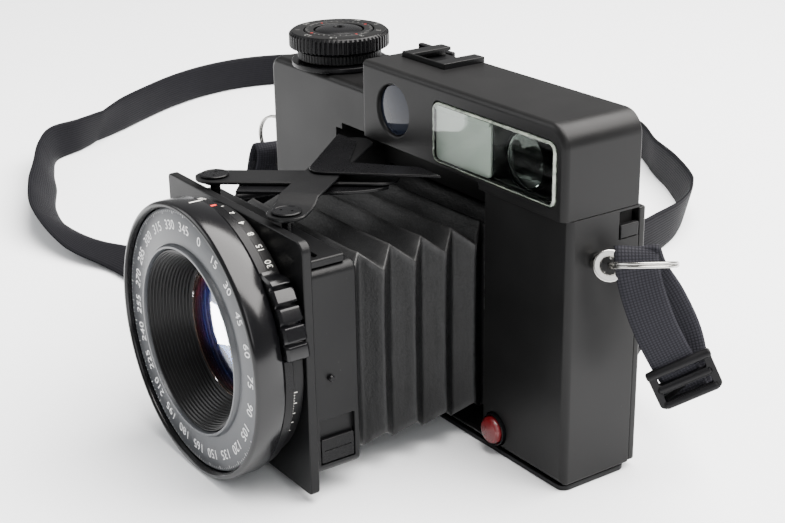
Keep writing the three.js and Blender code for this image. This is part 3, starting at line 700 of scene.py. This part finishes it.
# ---- Casing ----
def make_casing():
    cover = slab("front_shell", "body", paint, (-HALF_WIDTH, HALF_WIDTH), (2.1, 103), (-14, BACK),
                 (5, 5, 0.8, 0.8), low=2.2, high=0.3, steps=8, round_steps=5, replaced=["front_cover"],
                 slot="black_paint")
    carve(cover,
          block((-79.4, 79.4), (3.7, 101.4), (-12.4, 14), 0.5),
          block((-38.7, 42.7), (4, 86), (-30, 14), 0.6),
          block((-35, 36), (80, 88.2), (-30, 10.2), 0.3),
          block((78.4, 84), (76.6, 85), (4.6, 14), 0.2),
          rod(5.5, -20, -9, RELEASE_AT, steps=48),
          block((-19.3, 84), (85.8, 106), (-16, 14)))
    soften(cover, 0.16, 2, 50)

    housing = slab("finder_shell", "body", paint, (-19, HALF_WIDTH), (80, 113.5), (-16.5, BACK),
                   (7, 1.6, 0.5, 0.5), low=2.0, high=0.8, steps=10, round_steps=5,
                   replaced=["finder_housing"], slot="black_paint")
    countersink = [(0, -20), (9.0, -20), (9.0, -16.5), (8.2, -15.7), (8.2, -14), (0, -14)]
    carve(housing,
          block((20, 77.5), (89, 108.6), (-20, -14), 3, steps=8),
          turned("cutter", "body", paint, countersink, RANGE_AT, steps=72),
          rod(6.3, 10, 14, EYE_AT, steps=48),
          block((-14.3, 9.1), (-4, 14), (111.2, 115), 0.2, axis="Z"),
          block((-40, 90), (70, 86), (-20, 14)),
          block((-17.4, 79.4), (89.8, 111.9), (-14.6, 10.7), 3),
          block((-40, 79.4), (80, 88.2), (-12.4, 10.7)),
          block((-40, 42.7), (80, 88.2), (-20, 10.7)))
    soften(housing, 0.16, 2, 50)
    refined("main_casting", deep_black, 0.0)
    refined("base_plate", paint_dull, 0.4, 3)
    refined("battery_cover", steel, 0.2)
    refined("tripod_bush", chrome, 0.15)
    refined("bellows_frame", deep_black, 0.3)
    for hand in ("left", "right"):
        refined("focus_rail_" + hand, steel, 0.1)


def make_finder():
    inner = slab("finder_tunnel", "body", deep_black, (47.6, 77.6), (89.9, 108.4), (-14.2, -2), 2, low=0.1,
                 high=0.1, slot="dark_inside")
    carve(inner, block((48.4, 76.8), (90.7, 107.6), (-20, -3), 2))
    pane_u, pane_v, pane_corner = (20.3, 77.2), (89.3, 108.3), 2.8
    glass = slab("window_pane", "body", window_glass, pane_u, pane_v, (-17.15, -15.4), pane_corner, low=0.7,
                 high=0.1, steps=8, round_steps=1, replaced=["viewfinder_window"], slot="coated_glass")
    glass.data.set_sharp_from_angle(angle=math.radians(20))
    # The pane's chamfer as an opaque pale greenish ring: the green tint of the glass edge, lightened into a
    # painted highlight.
    edge = Surface("window_edge", (0.4, 0.45, 0.38), 0.16)
    edge.paint(edge.mix(edge.ramp(edge.noise(500, 3), 0.35, 0.65), (0.1, 0.12, 0.1), (0.36, 0.4, 0.33)))
    edge.set(Coat_Weight=0.6)
    rings = []
    for inset, y in ((0.06, -15.5), (0.06, -16.5), (0.45, -17.05), (0.62, -17.05), (0.4, -15.5)):
        outline = round_rect(pane_u[0] + inset, pane_u[1] - inset, pane_v[0] + inset, pane_v[1] - inset,
                             pane_corner - inset, 8)
        rings.append([(p, y, q) for p, q in outline])
    verts, faces = loft(rings, closed_ends=False, wrap=True)
    add_object("window_edge", verts, faces, "body", edge.material, slot="coated_glass")
    slab("frosted_plate", "body", frosted, (20.6, 47.2), (90, 108), (-14.6, -13.6), 1.5, low=0.1, high=0.1,
         replaced=["frosted_panel"], slot="frosted_plastic")
    slab("frost_sill", "body", frosted, (20.7, 47.2), (105.6, 108.1), (-15.3, -14.7), 1.0, low=0.1, high=0.1,
         slot="frosted_plastic")
    bulge = [(0.0, -14.3), (4.0, -14.2), (8.0, -13.7), (8.3, -13.2), (8.3, -11.2), (0.0, -10.6)]
    turned("objective_glass", "body", finder_glass, bulge, FINDER_AT, steps=64, replaced=["finder_objective"],
           slot="coated_glass")
    rim = [(8.35, -14), (9.0, -14), (9.0, -10.8), (8.35, -10.8)]
    turned("objective_rim", "body", semi_gloss, rim, FINDER_AT, steps=64, slot="gloss_black")
    slab("mirror_chip", "body", chrome, (68, 73), (94, 99), (-9, -8.4), 0.6, low=0.1, high=0.1,
         slot="bright_chrome")
    disc = [(0, -15.75), (5, -15.65), (7.9, -15.3), (7.9, -14.8), (0, -14.8)]
    turned("range_glass", "body", range_glass, disc, RANGE_AT, steps=72, replaced=["rangefinder_window"],
           slot="coated_glass")
    cup = [(4.6, 8.5), (6, 8.5), (6, 13), (7.2, 13), (7.4, 13.3), (7.4, 15.4), (6.8, 16), (5.2, 16),
           (4.6, 15.2)]
    turned("eyecup", "body", semi_gloss, cup, EYE_AT, steps=64, replaced=["eyepiece"], slot="gloss_black")
    lens = [(0, 12.5), (4.3, 12.5), (4.3, 14.2), (2.5, 14.45), (0, 14.5)]
    turned("eye_glass", "body", finder_glass, lens, EYE_AT, steps=48, replaced=["eyepiece_lens"],
           slot="coated_glass")


# ---- Numerals ----
def numeral(text, size, at, right, up, body, material, depth=0.04):
    """Generic scale figures laid on a surface: at is their middle in millimetres."""
    data = bpy.data.curves.new("figure", "FONT")
    data.body = text
    data.size = size * MM
    data.align_x = "CENTER"
    data.align_y = "CENTER"
    data.extrude = depth * MM / 2
    data.space_character = 1.05
    holder = bpy.data.objects.new("figure", data)
    scene.collection.objects.link(holder)
    right, up = Vector(right).normalized(), Vector(up).normalized()
    place = Matrix((right, up, right.cross(up))).transposed().to_4x4()
    place.translation = Vector(at) * MM
    mesh = bpy.data.meshes.new_from_object(holder.evaluated_get(bpy.context.evaluated_depsgraph_get()))
    mesh.transform(place)
    bpy.data.objects.remove(holder)
    mesh.materials.clear()
    mesh.materials.append(material)
    made = bpy.data.objects.new("figure", mesh)
    scene.collection.objects.link(made)
    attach(made, body)
    return made


def joined(parts, name):
    """One piece from several that share a body and a material."""
    verts, faces = [], []
    for part in parts:
        start = len(verts)
        verts += [tuple(v.co / MM) for v in part.data.vertices]
        faces += [tuple(start + i for i in face.vertices) for face in part.data.polygons]
    body = body_of(parts[0])[0]
    material = parts[0].data.materials[0]
    for part in parts:
        bpy.data.objects.remove(part)
    return add_object(name, verts, faces, body, material, flat_angle=40)


# ---- Top deck ----
def knurled(name, body, material, centre, inner, outer, low, high, teeth, depth, **more):
    """A ring about Z with fine upright grooves round its rim."""
    pattern = (0, 0.15, 1, 1, 0.15)
    steps = teeth * len(pattern)
    profile = [(inner, low, 0), (outer - 0.4, low, 1), (outer, low + 0.4, 1), (outer, high - 0.9, 1),
               (outer - 0.5, high - 0.35, 0.3), (outer - 1.0, high, 0), (inner, high, 0)]
    rings = []
    for s in range(steps):
        a = 2 * math.pi * s / steps
        cut = pattern[s % len(pattern)] * depth
        rings.append([(centre[0] + (r - cut * g) * math.cos(a), centre[1] + (r - cut * g) * math.sin(a), t)
                      for r, t, g in profile])
    verts, faces = loft(rings, closed_ends=False, wrap=True)
    return add_object(name, verts, faces, body, material, flat_angle=24, **more)


def make_dial():
    x, y = DIAL_AT
    knurled("focus_knob", "dial", semi_gloss, DIAL_AT, 8.75, 17.3, 109.6, 115.0, 64, 0.45,
            replaced=["focus_dial"], slot="gloss_black")
    face = [(8.8, 114.6), (16.2, 114.6), (16.2, 115.12), (15.9, DECK), (12.4, DECK), (12.2, 115.0),
            (11.8, 115.0), (11.6, DECK), (9.0, DECK), (8.8, 115.05)]
    turned("knob_face", "dial", paint, face, DIAL_AT, axis="Z", slot="gloss_black")
    figures = []
    scale = ["0.9", "1", "1.2", "1.5", "2", "3", "5", "10"]
    for i, text in enumerate(scale):
        a = math.radians(200 + 280 * i / (len(scale) - 1))
        out = Vector((math.cos(a), math.sin(a), 0))
        at = (x + 14.1 * out.x, y + 14.1 * out.y, DECK + 0.02)
        figures.append(numeral(text, 2.3, at, (out.y, -out.x, 0), out, "dial", dim_fill))
    joined(figures, "distance_figures")
    white, red = [], []
    for i in range(36):
        a = 2 * math.pi * i / 36
        out = Vector((math.cos(a), math.sin(a), 0))
        side = Vector((-out.y, out.x, 0)) * 0.09
        reach = 10.9 if i % 3 else 10.4
        corners = [out * reach - side, out * 11.5 - side, out * 11.5 + side, out * reach + side]
        verts, faces = loft([[(x + c.x, y + c.y, z) for c in corners] for z in (DECK, DECK + 0.04)])
        group, fill = (red, red_fill) if i % 9 == 0 else (white, dim_fill)
        group.append(add_object("tick", verts, faces, "dial", fill))
    joined(white, "dial_ticks")
    joined(red, "dial_red_ticks")


def make_top():
    make_dial()
    knurled("collar", "body", paint_dull, DIAL_AT, 6, 14.5, 105.4, 109.3, 72, 0.25, replaced=["dial_collar"],
            slot="black_paint")
    cap = [(0, 107), (4, 107), (4, 111), (8.1, 111), (8.4, 111.3), (8.4, 114.2), (8.1, 114.9), (7.2, 115.35),
           (5, 115.7), (2.1, 115.85), (1.9, 115.5), (1.6, 114.6), (0, 114.6)]
    turned("release_cap", "shutter_key", semi_gloss, cap, DIAL_AT, axis="Z", steps=72,
           replaced=["shutter_button"], slot="black_paint")
    refined("advance_lever", semi_gloss, 0.35, 3)
    refined("accessory_shoe", paint_dull, 0.25, 2)


def make_back():
    refined("back_door", paint, 0.5, 3, name="door_shell")
    refined("hinge_pin", steel, 0.2)
    refined("pressure_plate", semi_gloss, 0.3)
    refined("pressure_spring", steel, 0.0)
    refined("door_latch", paint_dull, 0.3)
    refined("takeup_spool", plastic_black, 0.3)
    for hand in ("left", "right"):
        refined("film_roller_" + hand, steel, 0.2)
    bezel = [(4.7, -15), (4.9, -15.2), (5.2, -15), (5.2, -12.9), (4.7, -12.9)]
    turned("button_bezel", "body", semi_gloss, bezel, RELEASE_AT, steps=64, replaced=["release_bezel"],
           slot="gloss_black")
    cap = [(0, -17.2), (2.2, -17.1), (3.6, -16.75), (4.2, -16.1), (4.4, -15.3), (4.4, -12.6), (0, -12.6)]
    turned("red_cap", "release_key", red_plastic, cap, RELEASE_AT, steps=64, replaced=["release_button"],
           slot="red_plastic")
    for hand in ("left", "right"):
        refined("lug_" + hand, chrome, 0.55, 4)


# ---- Lens ----
def around(radius, angle):
    """A point on a circle about the lens axis, as X and Z; the angle runs from +X towards +Z."""
    return LENS_AT[0] + radius * math.cos(angle), LENS_AT[1] + radius * math.sin(angle)


def face_marks():
    """A generic degree scale round the front face: figures with fine graduations between them."""
    raised = FACE - 0.02
    figures, lines = [], []
    for i in range(24):
        a = math.radians(75 - 15 * i)
        px, pz = around(35.4, a)
        out = (math.cos(a), 0, math.sin(a))
        figures.append(numeral(str(15 * i), 4.2, (px, raised, pz), (math.sin(a), 0, -math.cos(a)), out,
                               "standard", face_fill, depth=0.05))
    for i in range(180):
        a = math.radians(2 * i)
        low, high, half = (39.0, 40.0, 0.1) if i % 5 == 0 else (39.5, 40.0, 0.07)
        quad = [(around(r, a)[0] - s * math.sin(a), around(r, a)[1] + s * math.cos(a))
                for r, s in ((low, -half), (high, -half), (high, half), (low, half))]
        verts, faces = loft([[(p, y, q) for p, q in quad] for y in (raised, FACE + 0.01)])
        lines.append(add_object("mark", verts, faces, "standard", face_fill))
    joined(figures, "face_figures")
    joined(lines, "face_graduations")


def rim_figures(texts, size, rim, y, first, step, body):
    """Figures round a ring's rim, from the first angle on, in degrees."""
    made = []
    for i, text in enumerate(texts):
        a = math.radians(first + step * i)
        px, pz = around(rim + 0.06, a)
        along = (-math.sin(a), 0, math.cos(a))
        made.append(numeral(text, size, (px, y, pz), along, (0, -1, 0), body, white_fill))
    return made


def rim_bar(a, radius, y0, y1, half, name, body, material):
    """A line engraved along a ring's rim."""
    rings = []
    for lift in (-0.05, 0.03):
        px, pz = around(radius + lift, a)
        rings.append([(px - s * math.sin(a), y, pz + s * math.cos(a))
                      for s, y in ((-half, y0), (half, y0), (half, y1), (-half, y1))])
    verts, faces = loft(rings)
    return add_object(name, verts, faces, body, material)


def scale_figures():
    """Figures on the speed and aperture rings, and the index lines."""
    fast, slow = ["8", "15", "30", "60", "125", "250", "500"], ["4", "2", "1"]
    speeds = rim_figures(fast, 2.7, SPEED_RIM, -80.1, 65.6, -8.4, "time_ring")
    speeds += rim_figures(slow, 2.7, SPEED_RIM, -80.1, 73.5, 9, "time_ring")
    joined(speeds, "time_figures")
    stops = rim_figures(["2.8", "4", "5.6", "8", "11", "16", "22"], 2.5, STOP_RIM, -84.2, 97, 11, "stop_ring")
    joined(stops, "stop_figures")
    rim_bar(math.radians(91), FRONT_RIM, -90.6, -86.9, 0.28, "index_line", "standard", white_fill)
    rim_bar(math.radians(86.5), STOP_RIM, -85.4, -83.6, 0.5, "red_index", "stop_ring", red_fill)
    fine = [rim_bar(math.radians(-8 - 1.4 * i), SPEED_RIM, -82.0, -81.0 if i % 4 else -80.2, 0.09, "tick",
                    "time_ring", white_fill) for i in range(18)]
    joined(fine, "time_ticks")


def finger_grip():
    """The aperture ring's ridged tab."""
    steps = 84
    low, high = 0.14, 0.77
    root, base, rise, groove_deep, ridges = 40.2, 41.6, 4.0, 0.95, 5.2
    rings = []
    for i in range(steps + 1):
        t = i / steps
        a = low + (high - low) * t
        lower_end, upper_end = min(1.0, t / 0.05), min(1.0, (1 - t) / 0.2)
        swell = 0.25 + 0.75 * upper_end * upper_end * (3 - 2 * upper_end)
        swell *= math.sin(math.pi / 2 * lower_end)
        wave = max(0.0, math.cos(2 * math.pi * (t - 0.2) * ridges)) ** 8
        groove = groove_deep * wave if 0.14 < t < 0.88 else 0
        r = base + (rise - groove) * swell
        front = -86.0 + 0.6 * (1 - lower_end)
        back = -78.5 - 2.6 * (1 - upper_end) ** 2 - 0.5 * (groove > 0.4)
        loop = [(root, front), (r - 0.7, front), (r, front + 0.7), (r, back - 0.9), (r - 0.9, back),
                (root, back)]
        rings.append([(around(q, a)[0], y, around(q, a)[1]) for q, y in loop])
    verts, faces = loft(rings)
    return add_object("grip_tab", verts, faces, "stop_ring", gloss_black, slot="gloss_black", flat_angle=35)


def lens_ring(name, body, material, profile, node, slot, steps=192, flat_angle=40):
    """A turned piece about the lens axis that stands for a CAD node."""
    return turned(name, body, material, profile, LENS_AT, steps=steps, replaced=[node], slot=slot,
                  flat_angle=flat_angle)


def make_lens():
    front = [(41.2, -95.0), (41.5, -95.3), (42.0, -95.3), (42.6, -94.9), (FRONT_RIM, -94.2),
             (FRONT_RIM, -86.9), (42.6, -86.35), (28.2, -86.3), (28.2, -91.5), (41.0, -91.5), (41.0, -94.4)]
    lens_ring("front_rim", "standard", gloss_black, front, "front_ring", "gloss_black")
    face = [(28.35, -91.8), (28.35, -94.5), (28.6, -95.0), (29.2, -95.0), (29.6, -94.5), (29.9, -93.55),
            (30.4, FACE), (40.2, FACE), (40.6, -93.1), (40.7, -92.6), (40.7, -91.8)]
    lens_ring("lens_face", "standard", annulus_grey, face, "name_ring", "black_paint")
    cone = []
    ribs, wide, narrows, deep = 13, 27.6, 5.8, 12.0
    for i in range(ribs):
        t = i / ribs
        r, y, step = wide - narrows * t, -94.0 + deep * t, deep / ribs
        cone += [(r, y), (r - 0.1, y + step * 0.25), (r + 0.25, y + step * 0.4), (r - 0.15, y + step * 0.95)]
    cone += [(21.7, -81.9), (21.5, -81.6), (22.2, -81.2), (24.4, -86.2), (27.9, -92.9), (27.9, -94)]
    lens_ring("baffle_cone", "standard", cone_black, cone, "lens_cone", "dark_inside", steps=160,
              flat_angle=25)
    rim = [(28.0, -86.0), (41.3, -86.0), (STOP_RIM, -85.5), (STOP_RIM, -82.9), (41.5, -82.6), (28.0, -82.6)]
    lens_ring("stop_rim", "stop_ring", semi_gloss, rim, "aperture_ring", "gloss_black")
    finger_grip()
    speed = [(28, -82.3), (39.1, -82.3), (SPEED_RIM, -82.0), (SPEED_RIM, -78.3), (39.1, -78.0), (28, -78.0)]
    lens_ring("time_rim", "time_ring", paint_dull, speed, "speed_ring", "black_paint")
    refined("lens_barrel", deep_black, 0.2)
    steps = [i / 16 for i in range(17)]
    element = [(21 * t, -84.3 + 2.2 * t * t) for t in steps]
    element += [(21 * t, -83.5 + 2.2 * t * t) for t in reversed(steps)]
    lens_ring("front_glass", "standard", front_glass, element, "front_element", "coated_glass", steps=160,
              flat_angle=50)
    dish = [(19.6 * t, -79.9 - 1.75 * t * t) for t in steps] + [(19.6, -79.7), (0, -79.7)]
    turned("coated_element", "standard", coating, dish, LENS_AT, steps=160, slot="coated_glass",
           flat_angle=50)
    seat = [(21.05, -81.1), (21.35, -81.35), (21.6, -81.0), (21.6, -80.2), (21.3, -80.0), (21.1, -80.3)]
    turned("glass_rim", "standard", rim_bronze, seat, LENS_AT, steps=160, slot="gloss_black")
    refined("aperture_blades", semi_gloss, 0.0)
    refined("shutter_blades", steel, 0.1)
    refined("rear_element", finder_glass, 0.0)
    face_marks()
    scale_figures()


def make_standard():
    plate = slab("lens_board", "standard", paint_dull, (-38.5, 42.5), (3, 82.4), (-77.7, -74.7),
                 (3.4, 1.5, 1.5, 1.5), low=0.45, high=0.45, replaced=["lens_plate"], slot="black_paint")
    carve(plate, rod(BORE, -80, -70, LENS_AT))
    soften(plate, 0.15, 2, 50)
    case = slab("shutter_case", "standard", paint_dull, (-37, 41), (8, 73), (-74.4, -59), 3, low=0.2,
                high=0.9, replaced=["shutter_housing"], slot="black_paint")
    carve(case, rod(BORE, -80, -50, LENS_AT), block((-73, -61), (11, 25.6), (39.4, 44), 0.5, axis="X"))
    soften(case, 0.3, 3, 50)
    slider = slab("sync_slider", "switch", semi_gloss, (-72.7, -61.3), (11.4, 19.2), (39.7, 40.9), 0.5,
                  low=0.1, high=0.3, axis="X", replaced=["sync_switch"], slot="black_paint")
    carve(slider, block((-71.6, -62.4), (15.2, 15.7), (40.6, 42), axis="X"))
    soften(slider, 0.1, 2, 50)
    pin = [(0, 39.3), (1.0, 39.3), (1.0, 41.9), (0.7, 42.3), (0, 42.3)]
    turned("case_pin", "standard", semi_gloss, pin, (-69, 38.8), axis="X", steps=32, replaced=["side_pin"],
           slot="plain_steel")
    ledge = slab("slot_ledge", "standard", paint_dull, (-36, 40), (-74.4, -62), (73.3, 75.6), 0.8, low=0.2,
                 high=0.6, axis="Z", replaced=["strut_ledge"], slot="black_paint")
    carve(ledge, block((-33.5, 37.5), (-72.5, -69.4), (74.4, 82), 1.4, axis="Z"))
    soften(ledge, 0.25, 2, 50)


# ---- Bellows ----
def make_bellows():
    """Folded cloth: the sides crest where the top and bottom dip, so each corner runs in a worn zigzag."""
    front, back, folds = -58.7, 3.7, 11
    wide, tall, dip, middle = 36.0, 32.0, 5.0, (2, 39.5)
    per_fold, side_steps, corner_radius = 8, 26, 0.7
    rings, wears = [], []
    for row in range(folds * per_fold + 1):
        t = row / per_fold
        sides_out = abs((t % 2) - 1)
        crease = min(t % 1, 1 - t % 1)
        hx, hz = wide - dip * (1 - sides_out), tall - dip * sides_out
        y = front + (back - front) * t / folds
        corners = [(hx, hz), (-hx, hz), (-hx, -hz), (hx, -hz)]
        ring, wear = [], []
        for c in range(4):
            (x0, z0), (x1, z1) = corners[c], corners[(c + 1) % 4]
            length = math.hypot(x1 - x0, z1 - z0)
            ux, uz = (x1 - x0) / length, (z1 - z0) / length
            nx, nz = uz, -ux
            crest = (1 - sides_out) if c % 2 == 0 else sides_out
            sharp = max(0.0, 1 - crease * 9)
            for k in range(side_steps + 1):
                near = k / side_steps
                s = near * near * (3 - 2 * near)
                d = corner_radius + (length - 2 * corner_radius) * s
                ends = math.sin(math.pi * s)
                out = -0.5 * ends * crease * 2 - 0.3 * ends
                out -= 0.3 * sharp * (1 if crest > 0.5 else -1)
                at = Vector((x0 + ux * d, y * 1.6, z0 + uz * d))
                out += 0.22 * noise.noise(at * 0.1) + 0.1 * noise.noise(at * 0.45 + Vector((c * 7, 0, 0)))
                fade = min(1.0, min(s, 1 - s) * length / 4)
                ring.append((middle[0] + x0 + ux * d + nx * out * fade, y,
                             middle[1] + z0 + uz * d + nz * out * fade))
                edge = max(0.0, 1 - min(s, 1 - s) * length / 2.2)
                reach = max(0.0, 1 - min(s, 1 - s) * length / 7)
                rubbed = 0.75 * sharp * (1 if crest > 0.5 else 0) * (0.3 + 0.7 * reach)
                wear.append(min(1.0, max(0.85 * edge, rubbed, 0.35 * reach * (1 if c % 2 == 0 else 0.3))))
            rounding = corner_radius * 0.42
            ring.append((middle[0] + x1 - math.copysign(rounding, x1), y,
                         middle[1] + z1 - math.copysign(rounding, z1)))
            wear.append(1.0)
        rings.append(ring)
        wears.append(wear)
    inner = [[(middle[0] + (x - middle[0]) * 0.975, y, middle[1] + (z - middle[1]) * 0.972)
              for x, y, z in ring] for ring in reversed(rings)]
    verts, faces = loft(rings + inner, closed_ends=False, wrap=True)
    made = add_object("bellows_cloth", verts, faces, "carriage", bellows_skin, replaced=["bellows"],
                      slot="bellows_cloth", flat_angle=0)
    layer = made.data.attributes.new("wear", "FLOAT", "POINT")
    flat = [w for row in wears for w in row] + [0.0] * sum(len(ring) for ring in inner)
    layer.data.foreach_set("value", flat)
    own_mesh(made)


# ---- Struts ----
# Half a strut's reach across and along the camera when it is unfolded, and the scissor's middle as X and Y.
REACH, LEAN = math.hypot(21.5, 26.6), math.atan2(21.5, 26.6)
STRUT_CENTRE = (2, -44.4)


def strut_place(made, angle):
    """Turns a piece made about the origin into a strut's place."""
    shift = Matrix.Translation((STRUT_CENTRE[0] * MM, STRUT_CENTRE[1] * MM, 0))
    made.data.transform(shift @ Matrix.Rotation(angle, 4, "Z"))
    return made


def strut_bar(name, body, start, stop, heights, **more):
    """A flat bar with round ends along its own Y, whose underside follows the heights function."""
    r, thick = 6.0, 1.05
    rows = []
    for i in range(9):
        a = math.pi / 2 * i / 8
        rows.append((start - r * math.cos(a), r * math.sin(a)))
    inner = [start + (stop - start) * i / 24 for i in range(1, 24)]
    rows += [(y, r) for y in inner]
    for i in range(9):
        a = math.pi / 2 * i / 8
        rows.append((stop + r * math.sin(a), r * math.cos(a)))
    rings = []
    for y, half in rows:
        half = max(half, 0.02)
        z = heights(y)
        edge = min(0.3, half * 0.5)
        rings.append([(-half, y, z + edge), (-half + edge, y, z), (half - edge, y, z), (half, y, z + edge),
                      (half, y, z + thick - edge), (half - edge, y, z + thick), (-half + edge, y, z + thick),
                      (-half, y, z + thick - edge)])
    verts, faces = loft(rings)
    return add_object(name, verts, faces, body, paint_dull, flat_angle=38, slot="black_paint", **more)


def pin_cap(name, body, replaced, angle):
    """A strut's front pin, with a rimmed cap that has two small holes."""
    profile = [(0, 76), (1.6, 76), (1.6, 82.8), (3.4, 82.8), (3.4, 83.6), (1.6, 83.6), (1.6, 85.25),
               (4.3, 85.25), (4.5, 85.4), (4.5, 85.6), (4.2, 85.8), (3.7, 85.8), (3.55, 85.65), (0, 85.65)]
    pin = turned(name, body, semi_gloss, profile, (0, -REACH), axis="Z", steps=64, replaced=[replaced],
                 slot="plain_steel")
    carve(pin, *[rod(0.42, 85.2, 87, (side * 1.7, -REACH), axis="Z", steps=20) for side in (-1, 1)])
    pin.data.set_sharp_from_angle(angle=math.radians(30))
    return strut_place(pin, angle)


def make_struts():
    under, lift, lift_start, lift_run = 83.92, 1.96, 6.6, 4.2

    def stepped(y):
        t = max(0.0, min(1.0, (y + REACH - lift_start) / lift_run))
        return under + lift * t * t * (3 - 2 * t)

    lower = strut_bar("strut_bar_lower", "lower_strut", -REACH, 17, lambda y: under, replaced=["strut_lower"])
    strut_place(lower, -LEAN)
    upper = strut_bar("strut_bar_upper", "upper_strut", -REACH, 30, stepped, replaced=["strut_upper"])
    strut_place(upper, LEAN)
    pin_cap("pin_lower", "lower_strut", "strut_pin_lower", -LEAN)
    pin_cap("pin_upper", "upper_strut", "strut_pin_upper", LEAN)
    refined("strut_guide_plate", semi_gloss, 0.25, 3, name="guide_plate")
    refined("strut_yoke", semi_gloss, 0.3, 3, name="yoke_plate")
    refined("strut_pivot", semi_gloss, 0.15)


# ---- Studio ----
def make_floor():
    size = 6.0
    data = bpy.data.meshes.new("floor")
    corners = [(-size, -size, 0), (size, -size, 0), (size, size, 0), (-size, size, 0)]
    data.from_pydata(corners, [], [(0, 1, 2, 3)])
    pale = (0.9, 0.92, 0.94)
    s = Surface("studio_paper", pale, 0.75)
    s.paint(s.mix(s.ramp(s.noise(6, 3), 0.3, 0.7), pale, (0.91, 0.93, 0.95)))
    data.materials.append(s.material)
    floor = bpy.data.objects.new("floor", data)
    scene.collection.objects.link(floor)


def area_light(name, at, aim, size, power, color=(1, 1, 1), size_y=None):
    """A soft rectangular light. Sizes and places are in metres."""
    data = bpy.data.lights.new(name, "AREA")
    data.shape = "RECTANGLE"
    data.size = size
    data.size_y = size_y or size
    data.energy = power
    data.color = color
    light = bpy.data.objects.new(name, data)
    light.location = at
    light.rotation_euler = (Vector(aim) - Vector(at)).to_track_quat("-Z", "Y").to_euler()
    scene.collection.objects.link(light)
    return light


def make_lights():
    world = bpy.data.worlds.new("studio")
    world.use_nodes = True
    back = world.node_tree.nodes["Background"]
    back.inputs["Color"].default_value = (1.0, 1.0, 1.0, 1)
    back.inputs["Strength"].default_value = 0.42
    scene.world = world
    middle = (0, 0, 0.05)
    area_light("top_light", (0.3, 0.5, 1.25), middle, 1.7, 150, (1.0, 0.97, 0.945))
    area_light("left_light", (-1.0, -1.0, 0.9), middle, 1.0, 14)
    area_light("right_light", (1.5, -0.5, 0.8), middle, 0.9, 8)
    glint = area_light("lens_glint", (-0.066, -0.124, 0.014), (0.002, -0.083, 0.04), 0.11, 0.12, size_y=0.024)
    glint.data.spread = math.radians(70)
    glint.visible_camera = False
    lit_by_glint = bpy.data.collections.new("lit_by_glint")
    for name in ("coated_element", "front_glass"):
        lit_by_glint.objects.link(bpy.data.objects[name])
    glint.light_linking.receiver_collection = lit_by_glint


make_casing()
make_finder()
make_top()
make_back()
make_lens()
make_standard()
make_bellows()
make_struts()
make_floor()
make_lights()
